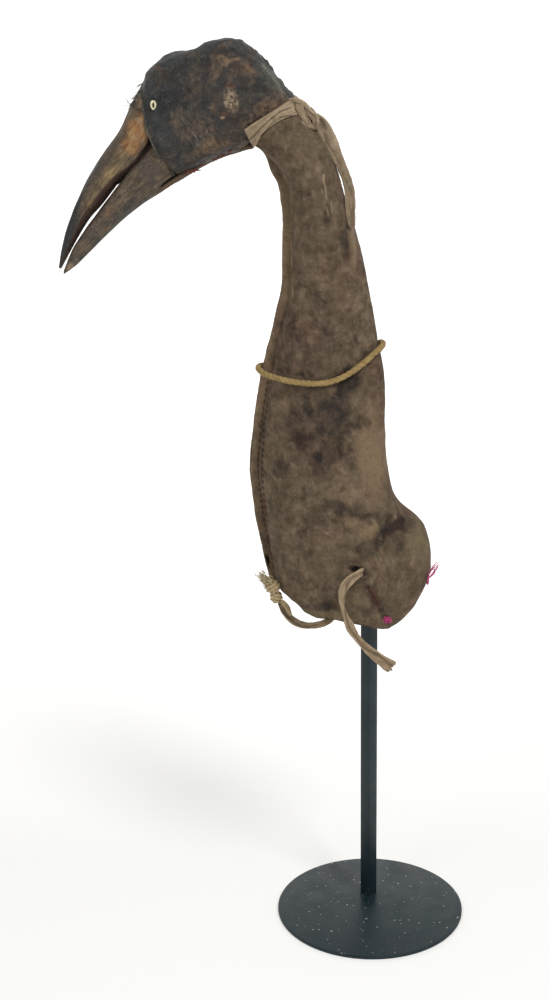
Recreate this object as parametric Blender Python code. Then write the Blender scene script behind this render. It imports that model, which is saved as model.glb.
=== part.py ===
"""Bird-headed hunting mask of hide and horn on its steel stand.

Metres, +Z up. The beak points to -X, the side that shows its tie is -Y.
The origin is the centre of the foot plate's underside.
Tables of sizes are in millimetres and are turned into metres where they are used.
"""

import math

import bmesh
import bpy
import numpy as np

# ---------------------------------------------------------------- driving sizes
MM = 0.001
GAP = 0.0003  # air between touching pieces

PLATE_R, PLATE_T, PLATE_SIDES, PLATE_EDGE = 0.080, 0.003, 72, 0.0004
BAR, BAR_TOP = 0.010, 0.466  # side of the square bar, height of its upper end
BAR_AT = (0.0, 0.019)  # the bar stands behind the middle of the plate
MID = 0.019  # the mask's own middle plane, y

# Neck, from the rim at the bottom to the collar at the top:
# front edge x, z, rear edge x, z, half depth in y
NECK = (
    (-66.0, 250.0, 34.0, 250.0, 43.0),
    (-79.0, 288.0, 46.0, 288.0, 47.5),
    (-86.0, 316.0, 50.2, 316.0, 49.0),
    (-91.5, 345.0, 45.5, 345.0, 47.0),
    (-95.2, 371.0, 23.0, 370.0, 42.5),
    (-97.0, 398.0, 14.4, 400.0, 37.5),
    (-94.6, 430.0, 12.0, 432.0, 33.0),
    (-88.0, 470.0, 11.4, 470.0, 29.5),
    (-79.0, 508.0, 5.2, 510.0, 27.5),
    (-70.2, 545.0, -1.8, 548.0, 26.5),
    (-68.4, 580.0, -10.0, 583.0, 26.0),
    (-68.3, 604.0, -16.8, 606.0, 25.5),
    (-71.0, 624.0, -22.8, 627.0, 25.0),
    (-77.0, 637.5, -29.5, 646.0, 24.5),
    (-83.0, 648.5, -38.0, 662.0, 23.0),
    (-87.0, 658.0, -48.0, 675.0, 20.5),
    (-92.4, 668.8, -57.5, 690.0, 18.5),
)
RIM = (  # x and z of the lower rim, the same on both sides
    (-84.0, 316.0), (-74.0, 298.0), (-63.0, 292.0), (-56.0, 284.5), (-46.0, 281.5), (-31.0, 282.0), (-12.0, 277.6),
    (7.0, 272.2), (14.0, 270.0), (19.0, 272.0), (27.0, 277.0), (35.0, 284.5), (44.0, 300.0), (50.0, 311.0),
)
HIDE = 0.003  # wall of the hide
FIN, FIN_T = 0.007, 0.0048  # the front seam stands out as a fin: depth and thickness
FIN_ENDS = (0.80, 0.93)  # share of the neck's length over which the fin dies out
LOBE_AT, LOBE_DIP = 0.016, 0.0075  # where the flank ends and the rear lobe drops back
LOBE_Z = (0.262, 0.352)  # heights between which it does
NECK_SIDES, NECK_ROWS, HOLLOW_ROWS = 36, 30, 18

# Head, from the lip at the beak to the strap: lower x, z, upper x, z, half depth
HEAD = (
    (-151.9, 636.2, -173.2, 701.6, 20.5),
    (-146.0, 635.8, -167.0, 712.6, 24.0),
    (-134.0, 640.6, -152.0, 724.6, 27.5),
    (-121.0, 646.0, -134.0, 728.4, 29.5),
    (-110.5, 650.6, -115.0, 734.6, 30.0),
    (-104.2, 653.8, -98.5, 732.8, 29.0),
    (-100.4, 657.4, -82.6, 721.2, 26.0),
    (-98.6, 664.4, -72.2, 709.4, 21.8),
    (-95.9, 671.6, -62.4, 696.6, 17.6),
)
HEAD_SIDES, HEAD_ROWS = 32, 20
STUB_END, STUB_ROWS = 0.90, 5  # how far down the neck's length the stub reaches

# Beak halves, from the head to the tip: upper edge x, z, lower edge x, z, half width
UPPER_BEAK = (
    (-174.6, 699.6, -165.0, 662.6, 17.0),
    (-182.0, 686.4, -172.6, 654.0, 16.0),
    (-191.4, 668.4, -183.4, 643.0, 14.2),
    (-206.6, 647.8, -195.6, 632.0, 11.8),
    (-219.4, 627.2, -209.4, 616.4, 9.4),
    (-229.8, 606.4, -222.4, 601.4, 7.0),
    (-238.4, 584.8, -234.0, 580.2, 4.6),
    (-243.2, 564.0, -241.8, 563.0, 1.6),
)
LOWER_BEAK = (
    (-164.2, 660.6, -152.4, 627.0, 16.4),
    (-172.2, 652.4, -162.6, 620.6, 15.4),
    (-184.6, 639.6, -176.8, 612.0, 13.0),
    (-196.4, 625.4, -192.0, 600.6, 10.4),
    (-208.4, 611.2, -206.0, 588.0, 8.2),
    (-220.4, 595.6, -219.6, 575.2, 6.0),
    (-231.4, 578.8, -231.6, 564.0, 3.8),
    (-239.6, 561.6, -239.8, 558.4, 1.4),
)
BEAK_SIDES, BEAK_ROWS = 18, 14
UPPER_ROLL = (2.0, 20.0)  # degrees at head and tip: the upper half is rolled, so its underside shows from the near side
JAW = (  # strip of the lower half under the head, from its rear end: x, z of its top, thickness, half width
    (-93.4, 654.6, 2.6, 4.6), (-104.0, 651.4, 2.8, 5.4), (-116.0, 647.0, 2.0, 5.4),
    (-127.0, 641.6, 1.6, 5.0), (-139.0, 635.8, 3.4, 6.4), (-151.0, 632.6, 5.6, 8.0),
)

EYE_AT, EYE_SIZE, EYE_T = (-163.6, 688.6), (0.0046, 0.0076), 0.0016

STRAP_T, STRAP_LIFT = 0.0019, 0.0007
STRAP_FROM, STRAP_TO = (0.955, 0.974, 0.942), 1.004  # shares of the neck's length: lower edge at nape, side, throat; upper edge
STRAP_ROWS = 4
KNOT_OUT, KNOT_AT, KNOT_W = 0.0062, 22.0, 26.0  # bump height, its place round the ring, its spread

TAIL_D = 0.0075
TAIL = (  # x, y, z from the knot down the nape
    (-44.2, 11.0, 676.9), (-37.4, 12.0, 670.5), (-30.3, 13.0, 656.9), (-25.0, 13.6, 645.3), (-20.4, 13.6, 634.8),
    (-17.2, 12.2, 623.3), (-16.1, 6.6, 612.3), (-15.6, 2.6, 603.6), (-15.0, -0.4, 594.9),
)

CORD_D, CORD_POINTS = 0.0045, 60
CORD_Z, CORD_TILT, CORD_SAG = 0.4902, 0.0092, 0.0150

TIE_D = 0.0075
SIDE_TIE = (
    (-8.4, -32.4, 325.6), (-11.4, -36.4, 325.6), (-17.0, -37.8, 322.6), (-22.6, -38.0, 316.0),
    (-25.4, -38.0, 307.6), (-24.6, -38.2, 297.8), (-21.6, -38.2, 287.0), (-17.0, -37.6, 276.4),
    (-10.4, -36.6, 266.4), (-2.0, -35.4, 257.4), (7.0, -34.2, 249.4), (14.6, -33.4, 243.4),
)
FRONT_TIE_D = 0.0044
FRONT_TIE = (
    (-74.4, 2.6, 287.4), (-72.2, 2.4, 281.4), (-68.2, 1.6, 275.0), (-62.8, 0.4, 270.4),
    (-56.0, -1.4, 268.2), (-48.6, -3.8, 268.6), (-41.0, -7.0, 271.0), (-34.0, -11.0, 275.4),
    (-28.4, -14.6, 282.4),
)
KNOT_BALLS = ((-80.2, 1.6, 300.6, 6.4, 5.4, 5.4), (-77.6, 1.6, 292.6, 5.4, 5.0, 4.4))  # x, y, z, radii
TUFT = ((-81.6, 2.4, 302.4), (-91.6, 5.0, 313.0))  # frayed end: from, to
TUFT_R = 0.0034

COLOURS = {  # base colour, roughness, metallic
    "steel": ((0.030, 0.052, 0.060), 0.45, 0.0),
    "neck_hide": ((0.115, 0.082, 0.060), 0.85, 0.0),
    "head_hide": ((0.030, 0.028, 0.030), 0.70, 0.0),
    "horn": ((0.140, 0.095, 0.060), 0.50, 0.0),
    "bead": ((0.78, 0.70, 0.45), 0.35, 0.0),
    "strap_leather": ((0.40, 0.31, 0.20), 0.80, 0.0),
    "cord": ((0.42, 0.29, 0.10), 0.80, 0.0),
}


# ---------------------------------------------------------------- shape functions
def through(table, t):
    """The row of a table at t from 0 to 1, on a smooth curve through all its rows."""
    rows = np.array(table, float)
    n = len(rows) - 1
    x = min(max(t, 0.0), 1.0) * n
    i = min(int(x), n - 1)
    f = x - i
    p1, p2 = rows[i], rows[i + 1]
    p0 = rows[i - 1] if i else 2 * p1 - p2
    p3 = rows[i + 2] if i + 2 <= n else 2 * p2 - p1
    m1, m2 = (p2 - p0) / 2, (p3 - p1) / 2
    f2, f3 = f * f, f * f * f
    out = (2 * f3 - 3 * f2 + 1) * p1 + (f3 - 2 * f2 + f) * m1 + (3 * f2 - 2 * f3) * p2 + (f3 - f2) * m2
    return out + (rows[-1] - rows[-2]) * max(t - 1.0, 0.0) * n


def smooth(a, b, x):
    f = min(max((x - a) / (b - a), 0.0), 1.0)
    return f * f * (3 - 2 * f)


def at_x(table, x):
    """z of a profile given as x, z rows, at x."""
    xs, zs = [r[0] for r in table], [r[1] for r in table]
    return float(np.interp(x, xs, zs))


def neck_frame(s):
    """Middle, unit direction from front to rear, half width and half depth of the neck's section at s."""
    fx, fz, bx, bz, d = through(NECK, s) * MM
    across = np.array([bx - fx, 0.0, bz - fz])
    w = np.linalg.norm(across) / 2
    return np.array([(fx + bx) / 2, MID, (fz + bz) / 2]), across / (2 * w), w, d


def fin_at(s):
    return FIN * (1 - smooth(*FIN_ENDS, s))


def lobe(x, z):
    """How far the side drops back behind the flank."""
    up = smooth(LOBE_Z[0] - 0.02, LOBE_Z[0] + 0.01, z) * (1 - smooth(LOBE_Z[1] - 0.02, LOBE_Z[1] + 0.012, z))
    return LOBE_DIP * up * smooth(LOBE_AT - 0.007, LOBE_AT + 0.007, x)


def neck_point(s, a, grow=0.0):
    """A point of the neck's body at s, at angle a from the rear, moved out by grow. The fin isn't in it."""
    mid, across, w, d = neck_frame(s)
    fin = fin_at(s)
    mid = mid + across * fin / 2
    w = w - fin / 2 + grow
    c, k = math.cos(a), math.sin(a)
    p = mid + across * w * c
    dip = lobe(p[0], p[2])
    reach = max(d - dip * (1 - abs(c) ** 6) + grow, 0.001)
    return p - np.array([0.0, reach * math.copysign(abs(k) ** 0.92, k), 0.0])


def rim_s(a, grow=0.0):
    """Where along the neck the lower rim crosses the line of points at angle a."""
    lo, hi = 0.0, 0.30
    for _ in range(40):
        m = (lo + hi) / 2
        p = neck_point(m, a, grow)
        if p[2] > at_x(RIM, p[0] / MM) * MM:
            hi = m
        else:
            lo = m
    return (lo + hi) / 2


def neck_ring(share, outer):
    """Ring of the neck's outer or inner face at a share of the way from the rim to the collar."""
    ring = []
    for i in range(NECK_SIDES):
        a = 2 * math.pi * i / NECK_SIDES
        s0 = rim_s(a)
        s = s0 + (1 - s0) * share
        if not outer:
            ring.append(neck_point(s, a, -HIDE))
            continue
        p = neck_point(s, a)
        fin = fin_at(s)
        k = i - NECK_SIDES // 2
        if abs(k) <= 2 and fin > 0:
            mid, across, w, _ = neck_frame(s)
            tip = mid - across * w
            back, half = ((0.0, 0.0), (0.0009, FIN_T * 0.42), (FIN + 0.0013, FIN_T * 0.66))[abs(k)]
            q = tip + across * back + np.array([0.0, math.copysign(half, k) if k else 0.0, 0.0])
            p = p + (q - p) * (fin / FIN)
        ring.append(p)
    return ring


def section_ring(row, sides):
    """Closed oval ring through an upper and a lower point: upper x, z, lower x, z, half width."""
    ux, uz, lx, lz, w = (v * MM for v in row)
    up = np.array([ux - lx, 0.0, uz - lz]) / 2
    mid = np.array([(ux + lx) / 2, MID, (uz + lz) / 2])
    turns = [2 * math.pi * i / sides for i in range(sides)]
    return [mid + up * math.cos(a) - np.array([0.0, w * math.sin(a), 0.0]) for a in turns]


def beak_ring(row, sides, roll, keel):
    """Ring of a beak half: rounded on its ridge (keel +1 above, -1 below), squared off on its biting side, rolled about its middle."""
    ux, uz, lx, lz, w = (v * MM for v in row)
    up = np.array([ux - lx, 0.0, uz - lz])
    r = math.radians(roll)
    h = (np.linalg.norm(up) / 2 - w * math.sin(r) / 2) / math.cos(r)
    up /= np.linalg.norm(up)
    mid = np.array([(ux + lx) / 2, MID, (uz + lz) / 2]) + up * w * math.sin(r) / 2
    side, ring = np.array([0.0, -1.0, 0.0]), []
    for i in range(sides):
        a = 2 * math.pi * i / sides
        v, u = math.cos(a), math.sin(a)
        if v * keel < 0:
            v = math.copysign(abs(v) ** 0.45, v)
            u = math.copysign(abs(u) ** 0.55, u)
        u, v = u * w, v * h
        ring.append(mid + up * (v * math.cos(r) + u * math.sin(r)) + side * (u * math.cos(r) - v * math.sin(r)))
    return ring


# ---------------------------------------------------------------- mesh makers
materials = {}


def material(slot):
    if slot not in materials:
        m = bpy.data.materials.new(slot)
        m.use_nodes = True
        s = m.node_tree.nodes["Principled BSDF"]
        colour, rough, metal = COLOURS[slot]
        s.inputs["Base Color"].default_value = (*colour, 1.0)
        s.inputs["Roughness"].default_value = rough
        s.inputs["Metallic"].default_value = metal
        materials[slot] = m
    return materials[slot]


def add(name, data, slot):
    o = bpy.data.objects.new(name, data)
    bpy.context.scene.collection.objects.link(o)
    data.materials.append(material(slot))
    return o


def finished(bm, name, slot, angle=40.0):
    bmesh.ops.recalc_face_normals(bm, faces=bm.faces)
    mesh = bpy.data.meshes.new(name)
    bm.to_mesh(mesh)
    bm.free()
    mesh.shade_smooth()
    mesh.set_sharp_from_angle(angle=math.radians(angle))
    return add(name, mesh, slot)


def loft(name, rings, slot, wrap=False, angle=40.0):
    """Skin over closed rings. Without wrap both ends are closed with a fan."""
    bm = bmesh.new()
    verts = [[bm.verts.new(p) for p in ring] for ring in rings]
    n = len(verts[0])
    for k in range(len(verts) if wrap else len(verts) - 1):
        a, b = verts[k], verts[(k + 1) % len(verts)]
        for i in range(n):
            j = (i + 1) % n
            bm.faces.new((a[i], a[j], b[j], b[i]))
    if not wrap:
        for ring, points in ((verts[0], rings[0]), (verts[-1], rings[-1])):
            hub = bm.verts.new(np.mean(points, axis=0))
            for i in range(n):
                bm.faces.new((ring[i], ring[(i + 1) % n], hub))
    return finished(bm, name, slot, angle)


def spline_points(table, n):
    return [through(table, i / (n - 1)) * MM for i in range(n)]


def tube(name, points, diameter, slot, cyclic=False, resolution=2):
    curve = bpy.data.curves.new(name, "CURVE")
    curve.dimensions = "3D"
    curve.bevel_depth = diameter / 2
    curve.bevel_resolution = resolution
    curve.use_fill_caps = not cyclic
    line = curve.splines.new("POLY")
    line.points.add(len(points) - 1)
    for point, p in zip(line.points, points):
        point.co = (*p, 1.0)
    line.use_cyclic_u = cyclic
    return add(name, curve, slot)


def ball(bm, centre, radii, u=12, v=8):
    made = bmesh.ops.create_uvsphere(bm, u_segments=u, v_segments=v, radius=1.0)["verts"]
    for vert in made:
        vert.co = [c + r * x for c, r, x in zip(centre, radii, vert.co)]
    return made


# ---------------------------------------------------------------- the object
def make_stand():
    bm = bmesh.new()
    bmesh.ops.create_cone(bm, cap_ends=True, segments=PLATE_SIDES, radius1=PLATE_R, radius2=PLATE_R, depth=PLATE_T)
    plate = finished(bm, "stand_disc", "steel")
    plate.location = (0, 0, PLATE_T / 2)
    edge = plate.modifiers.new("edge", "BEVEL")
    edge.width, edge.segments = PLATE_EDGE, 1
    bm = bmesh.new()
    foot = PLATE_T + GAP
    bmesh.ops.create_cube(bm, size=1.0)
    for v in bm.verts:
        v.co = (v.co.x * BAR, v.co.y * BAR, foot + (v.co.z + 0.5) * (BAR_TOP - foot))
    bar = finished(bm, "stand_post", "steel")
    bar.location = (*BAR_AT, 0)
    bar.rotation_euler = (0, 0, math.radians(45))


def make_neck():
    rings = [neck_ring(i / (NECK_ROWS - 1), True) for i in range(NECK_ROWS)]
    rings += [neck_ring(1 - i / (HOLLOW_ROWS - 1), False) for i in range(HOLLOW_ROWS)]
    loft("neck", rings, "neck_hide", wrap=True)


def make_head():
    rings = []
    for i in range(HEAD_ROWS):
        lx, lz, ux, uz, d = through(HEAD, i / (HEAD_ROWS - 1))
        rings.append(section_ring((ux, uz, lx, lz, d), HEAD_SIDES))
    for k in range(STUB_ROWS):  # the stub follows the neck's hollow
        s = 1.0 + (STUB_END - 1.0) * k / (STUB_ROWS - 1)
        taper = 0.0008 + 0.004 * k / (STUB_ROWS - 1)
        rings.append([neck_point(s, 2 * math.pi * i / HEAD_SIDES, -HIDE - taper) for i in range(HEAD_SIDES)])
    loft("head", rings, "head_hide")


def make_beak():
    steps = [i / (BEAK_ROWS - 1) for i in range(BEAK_ROWS)]
    r0, r1 = UPPER_ROLL
    loft("upper_beak", [beak_ring(through(UPPER_BEAK, t), BEAK_SIDES, r0 + (r1 - r0) * t, 1) for t in steps], "horn")
    rings = []
    for x, z, thick, half in JAW:  # the strip that runs back under the head, from its rear end forward
        rings.append(section_ring((x, z, x + thick * 0.4, z - thick, half), BEAK_SIDES))
    rings += [beak_ring(through(LOWER_BEAK, t), BEAK_SIDES, 0.0, -1) for t in steps]
    loft("lower_beak", rings, "horn")


def surface_y(x, z):
    """y of the head's near face at x, z, found on its sections."""
    best = None
    for i in range(241):
        lx, lz, ux, uz, d = through(HEAD, i / 240) * MM
        up = np.array([ux - lx, uz - lz])
        h = np.linalg.norm(up)
        rel = np.array([x - lx, z - lz])
        along = rel @ up / h
        off = abs(rel[0] * up[1] - rel[1] * up[0]) / h
        if best is None or off < best[0]:
            v = 2 * along / h - 1
            best = (off, d * math.sqrt(max(1 - v * v, 0)))
    return best[1]


def make_eyes():
    x, z = EYE_AT[0] * MM, EYE_AT[1] * MM
    out = surface_y(x, z) + EYE_T / 2 + 0.0012
    for name, side in (("eye_near", -1), ("eye_far", 1)):
        bm = bmesh.new()
        ball(bm, (0, 0, 0), (EYE_SIZE[0] / 2, EYE_T / 2, EYE_SIZE[1] / 2), 16, 8)
        eye = finished(bm, name, "bead")
        eye.location = (x, MID + side * out, z)
        eye.rotation_euler = (0, 0, math.radians(-18 * side))


def make_strap():
    """A band round the neck's collar whose outer face swells into the knot at the nape."""
    nape, side, throat = STRAP_FROM
    outer, inner = [], []
    for k in range(STRAP_ROWS):
        f = k / (STRAP_ROWS - 1)
        out_ring, in_ring = [], []
        for i in range(NECK_SIDES):
            a = 2 * math.pi * i / NECK_SIDES
            low = side + ((nape if math.cos(a) > 0 else throat) - side) * math.cos(a) ** 2
            s = low + (STRAP_TO - low) * f
            d = (math.degrees(a) - KNOT_AT + 180) % 360 - 180
            bump = KNOT_OUT * math.exp(-((d / KNOT_W) ** 2)) * math.sin(math.pi * (0.15 + 0.7 * f))
            in_ring.append(neck_point(s, a, STRAP_LIFT))
            out_ring.append(neck_point(s, a, STRAP_LIFT + STRAP_T + bump))
        outer.append(out_ring)
        inner.append(in_ring)
    loft("neck_strap", outer + inner[::-1], "strap_leather", wrap=True)


def make_cords():
    tube("strap_tail", spline_points(TAIL, 10), TAIL_D, "strap_leather")
    tube("side_tie", spline_points(SIDE_TIE, 16), TIE_D, "strap_leather")
    tube("front_tie", spline_points(FRONT_TIE, 14), FRONT_TIE_D, "strap_leather")
    loop = []
    for i in range(CORD_POINTS):
        a = 2 * math.pi * i / CORD_POINTS
        z = CORD_Z + CORD_TILT * math.cos(a) - CORD_SAG * math.sin(a) ** 2
        lo, hi = 0.2, 0.8
        for _ in range(40):
            s = (lo + hi) / 2
            mid, across, w, d = neck_frame(s)
            p = mid + across * (w + CORD_D / 2 + 0.0010) * math.cos(a)
            lo, hi = (s, hi) if p[2] < z else (lo, s)
        d = d + CORD_D / 2 + 0.0008
        loop.append((p[0], MID - d * math.copysign(abs(math.sin(a)) ** 0.9, math.sin(a)), z))
    tube("neck_cord", loop, CORD_D, "cord", cyclic=True)


def make_front_knot():
    parts = []
    for k, (x, y, z, a, b, c) in enumerate(KNOT_BALLS):
        bm = bmesh.new()
        ball(bm, (x * MM, y * MM, z * MM), (a * MM, b * MM, c * MM))
        parts.append(finished(bm, "front_tie_knot" if not k else "knot_lobe", "strap_leather"))
    bm = bmesh.new()
    a, b = (np.array(p) * MM for p in TUFT)
    bmesh.ops.create_cone(bm, cap_ends=True, segments=10, radius1=TUFT_R * 0.7, radius2=TUFT_R, depth=np.linalg.norm(b - a))
    tuft = finished(bm, "tuft", "strap_leather")
    d = b - a
    tuft.location = tuple((a + b) / 2)
    tuft.rotation_euler = (0, math.atan2(d[0], d[2]), 0)
    parts.append(tuft)
    for cutter in parts[1:]:
        cutter.hide_render = True
        cutter.display_type = "WIRE"
        join = parts[0].modifiers.new("join", "BOOLEAN")
        join.operation, join.solver, join.object = "UNION", "EXACT", cutter


for old in list(bpy.data.objects):
    bpy.data.objects.remove(old, do_unlink=True)
make_stand()
make_neck()
make_head()
make_beak()
make_eyes()
make_strap()
make_cords()
make_front_knot()
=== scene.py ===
"""Looks of the hunting mask: a bird's head of dark hide with a long beak on a curved hide neck, on its stand.

Metres, in the frame of the CAD: +Z up, beak towards -X, seen side -Y.
Tables of sizes are in millimetres. Places on the seen side are often given by where they lie
in the picture (x right, y down), and `spot_at` turns such a place into a point of the object.
"""

import math

import bmesh
import bpy
import numpy as np
from mathutils import Matrix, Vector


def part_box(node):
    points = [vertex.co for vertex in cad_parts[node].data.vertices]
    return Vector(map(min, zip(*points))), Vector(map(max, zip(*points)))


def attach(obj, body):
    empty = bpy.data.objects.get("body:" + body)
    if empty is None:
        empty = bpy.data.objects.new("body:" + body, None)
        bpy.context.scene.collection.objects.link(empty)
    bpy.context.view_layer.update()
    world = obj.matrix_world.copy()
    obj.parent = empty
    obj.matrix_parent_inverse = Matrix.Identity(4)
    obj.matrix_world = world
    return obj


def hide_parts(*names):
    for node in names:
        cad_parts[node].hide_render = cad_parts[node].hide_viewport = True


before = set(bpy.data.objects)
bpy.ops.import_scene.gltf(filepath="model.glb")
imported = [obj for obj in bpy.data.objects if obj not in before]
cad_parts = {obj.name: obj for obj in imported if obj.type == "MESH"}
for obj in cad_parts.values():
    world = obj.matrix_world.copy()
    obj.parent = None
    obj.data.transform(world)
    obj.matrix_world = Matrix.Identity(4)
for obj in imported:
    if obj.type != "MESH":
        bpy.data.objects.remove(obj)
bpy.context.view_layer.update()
MM = 0.001
ROOT = "root"
MID = 19.0 * MM  # the mask's own middle plane

# ------------------------------------------------------------------ camera
F_PX, SIZE = 1691.0, (548, 1000)
PITCH, ROLL = math.radians(17.95), math.radians(0.91)
EYE = np.array([-0.0780, -1.2958, 0.7959])
FWD = np.array([0.0, math.cos(PITCH), -math.sin(PITCH)])
_right, _down = np.array([1.0, 0.0, 0.0]), np.array([0.0, -math.sin(PITCH), -math.cos(PITCH)])
RIGHT = math.cos(ROLL) * _right + math.sin(ROLL) * _down
DOWN = -math.sin(ROLL) * _right + math.cos(ROLL) * _down


def make_camera():
    data = bpy.data.cameras.new("camera")
    data.lens, data.sensor_width = F_PX / max(SIZE) * 36.0, 36.0
    data.clip_start, data.clip_end = 0.05, 50.0
    cam = bpy.data.objects.new("camera", data)
    bpy.context.scene.collection.objects.link(cam)
    m = np.eye(4)
    m[:3, 0], m[:3, 1], m[:3, 2], m[:3, 3] = RIGHT, -DOWN, -FWD, EYE
    cam.matrix_world = Matrix(m.tolist())
    bpy.context.scene.camera = cam


def seen(p):
    """Where points lie in the picture, in its pixels."""
    q = np.asarray(p, float) - EYE
    z = q @ FWD
    return np.stack([SIZE[0] / 2 + F_PX * (q @ RIGHT) / z, SIZE[1] / 2 + F_PX * (q @ DOWN) / z], -1)


def spot_at(px, py, y):
    """The point at depth y that lies at px, py in the picture."""
    d = FWD + (px - SIZE[0] / 2) / F_PX * RIGHT + (py - SIZE[1] / 2) / F_PX * DOWN
    return EYE + d * (y - EYE[1]) / d[1]


# ------------------------------------------------------------------ noise and small maths
_rng = np.random.default_rng(20)
_PERM = np.concatenate([_rng.permutation(512)] * 2)
_GRAD = _rng.normal(size=(512, 3))
_GRAD /= np.linalg.norm(_GRAD, axis=1)[:, None]


def noise(p, size, seed=0):
    """Smooth noise from about -1 to 1 with features of the given size; size may be three numbers."""
    q = np.asarray(p, float) / np.asarray(size, float) + seed * 13.71
    i = np.floor(q).astype(int)
    f = q - i
    u = f * f * f * (f * (f * 6 - 15) + 10)
    out = 0
    for dx in (0, 1):
        for dy in (0, 1):
            for dz in (0, 1):
                h = _PERM[(_PERM[(_PERM[(i[..., 0] + dx) % 512] + i[..., 1] + dy) % 512] + i[..., 2] + dz) % 512]
                dot = (_GRAD[h] * (f - (dx, dy, dz))).sum(-1)
                w = (u[..., 0] if dx else 1 - u[..., 0]) * (u[..., 1] if dy else 1 - u[..., 1]) * (u[..., 2] if dz else 1 - u[..., 2])
                out = out + dot * w
    return out * 1.7


def fbm(p, size, octaves=4, seed=0, gain=0.5):
    size = np.asarray(size, float)
    return sum(gain**k * noise(p, size / 2**k, seed + k * 7) for k in range(octaves))


def ramp(a, b, x):
    f = np.clip((np.asarray(x, float) - a) / (b - a), 0, 1)
    return f * f * (3 - 2 * f)


def bell(x, width):
    return np.exp(-((np.asarray(x, float) / width) ** 2))


def table_at(table, t):
    """Rows of a table at each t, on smooth curves through all its rows."""
    rows = np.array(table, float)
    n = len(rows) - 1
    t = np.atleast_1d(np.asarray(t, float))
    x = np.clip(t, 0, 1) * n
    i = np.minimum(x.astype(int), n - 1)
    f = (x - i)[:, None]
    pad = np.vstack([2 * rows[0] - rows[1], rows, 2 * rows[-1] - rows[-2]])
    p0, p1, p2, p3 = pad[i], pad[i + 1], pad[i + 2], pad[i + 3]
    m1, m2 = (p2 - p0) / 2, (p3 - p1) / 2
    f2, f3 = f * f, f * f * f
    out = (2 * f3 - 3 * f2 + 1) * p1 + (f3 - 2 * f2 + f) * m1 + (3 * f2 - 2 * f3) * p2 + (f3 - f2) * m2
    return out + (rows[-1] - rows[-2]) * np.maximum(t - 1, 0)[:, None] * n


def to_line(q, line):
    """Distance of each 2D point from a bent line, and the share of the line's length where it is nearest."""
    line = np.array(line, float)
    seg = np.linalg.norm(np.diff(line, axis=0), axis=1)
    start = np.concatenate([[0], np.cumsum(seg)])
    best, where = np.full(len(q), 1e9), np.zeros(len(q))
    for k in range(len(line) - 1):
        d = line[k + 1] - line[k]
        t = np.clip(((q - line[k]) @ d) / (d @ d), 0, 1)
        r = np.linalg.norm(q - line[k] - t[:, None] * d, axis=1)
        near = r < best
        best[near], where[near] = r[near], (start[k] + t[near] * seg[k]) / start[-1]
    return best, where


def patch(q, cx, cy, rx, ry, turn=0.0, soft=0.5):
    """1 inside an oval spot of the picture, fading to 0 over its soft edge."""
    a = math.radians(turn)
    d = q - (cx, cy)
    u = (d[:, 0] * math.cos(a) + d[:, 1] * math.sin(a)) / rx
    v = (-d[:, 0] * math.sin(a) + d[:, 1] * math.cos(a)) / ry
    return 1 - ramp(1 - soft, 1 + soft, np.sqrt(u * u + v * v))


# ------------------------------------------------------------------ mesh makers
def link(name, data):
    o = bpy.data.objects.new(name, data)
    bpy.context.scene.collection.objects.link(o)
    return o


def piece(o, slot, *nodes):
    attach(o, ROOT)
    if nodes:
        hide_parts(*nodes)
    return o


def grid_faces(rows, cols, close_rows=False, close_cols=True, first=0):
    i, j = np.meshgrid(np.arange(rows if close_rows else rows - 1), np.arange(cols if close_cols else cols - 1), indexing="ij")
    a = i * cols + j
    b = i * cols + (j + 1) % cols
    c = ((i + 1) % rows) * cols + (j + 1) % cols
    d = ((i + 1) % rows) * cols + j
    return (np.stack([a, b, c, d], -1).reshape(-1, 4) + first).tolist()


def mesh_of(name, verts, faces, flip=False):
    if flip:
        faces = [f[::-1] for f in faces]
    mesh = bpy.data.meshes.new(name)
    mesh.from_pydata(np.asarray(verts, float).tolist(), [], faces)
    mesh.shade_smooth()
    return mesh


def outward(mesh):
    bm = bmesh.new()
    bm.from_mesh(mesh)
    bmesh.ops.recalc_face_normals(bm, faces=bm.faces)
    bm.to_mesh(mesh)
    bm.free()


def paint(mesh, **maps):
    """Keeps maps made in code on the mesh's points, for its material's nodes."""
    for name, values in maps.items():
        values = np.asarray(values, np.float32)
        if values.ndim == 1:
            mesh.attributes.new(name, "FLOAT", "POINT").data.foreach_set("value", values)
        else:
            mesh.attributes.new(name, "FLOAT_VECTOR", "POINT").data.foreach_set("vector", values.ravel())


def grid_normals(g, close_rows=False):
    """Outward unit normals of a grid of points whose columns close round the piece."""
    dc = np.roll(g, -1, 1) - np.roll(g, 1, 1)
    dr = np.roll(g, -1, 0) - np.roll(g, 1, 0) if close_rows else np.gradient(g, axis=0)
    n = np.cross(dc, dr)
    n /= np.linalg.norm(n, axis=-1, keepdims=True) + 1e-12
    middle = g.mean(1, keepdims=True)
    if ((g - middle) * n).sum() < 0:
        n = -n
    return n


def resample(points, n):
    """n points evenly along a smooth curve through the given points."""
    points = np.array(points, float)
    fine = table_at(points, np.linspace(0, 1, 40 * len(points)))
    d = np.concatenate([[0], np.cumsum(np.linalg.norm(np.diff(fine, axis=0), axis=1))])
    t = np.linspace(0, d[-1], n)
    return np.stack([np.interp(t, d, fine[:, k]) for k in range(3)], -1), d[-1]


def frames(p, start=(0.0, -1.0, 0.0), closed=False):
    """Tangent and two crosswise directions along a line, carried without twist."""
    t = np.roll(p, -1, 0) - np.roll(p, 1, 0) if closed else np.gradient(p, axis=0)
    t /= np.linalg.norm(t, axis=1)[:, None]
    u = np.zeros_like(p)
    v = np.array(start, float)
    for i in range(len(p)):
        v = v - t[i] * (v @ t[i])
        v /= np.linalg.norm(v)
        u[i] = v
    return t, u, np.cross(t, u)


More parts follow.
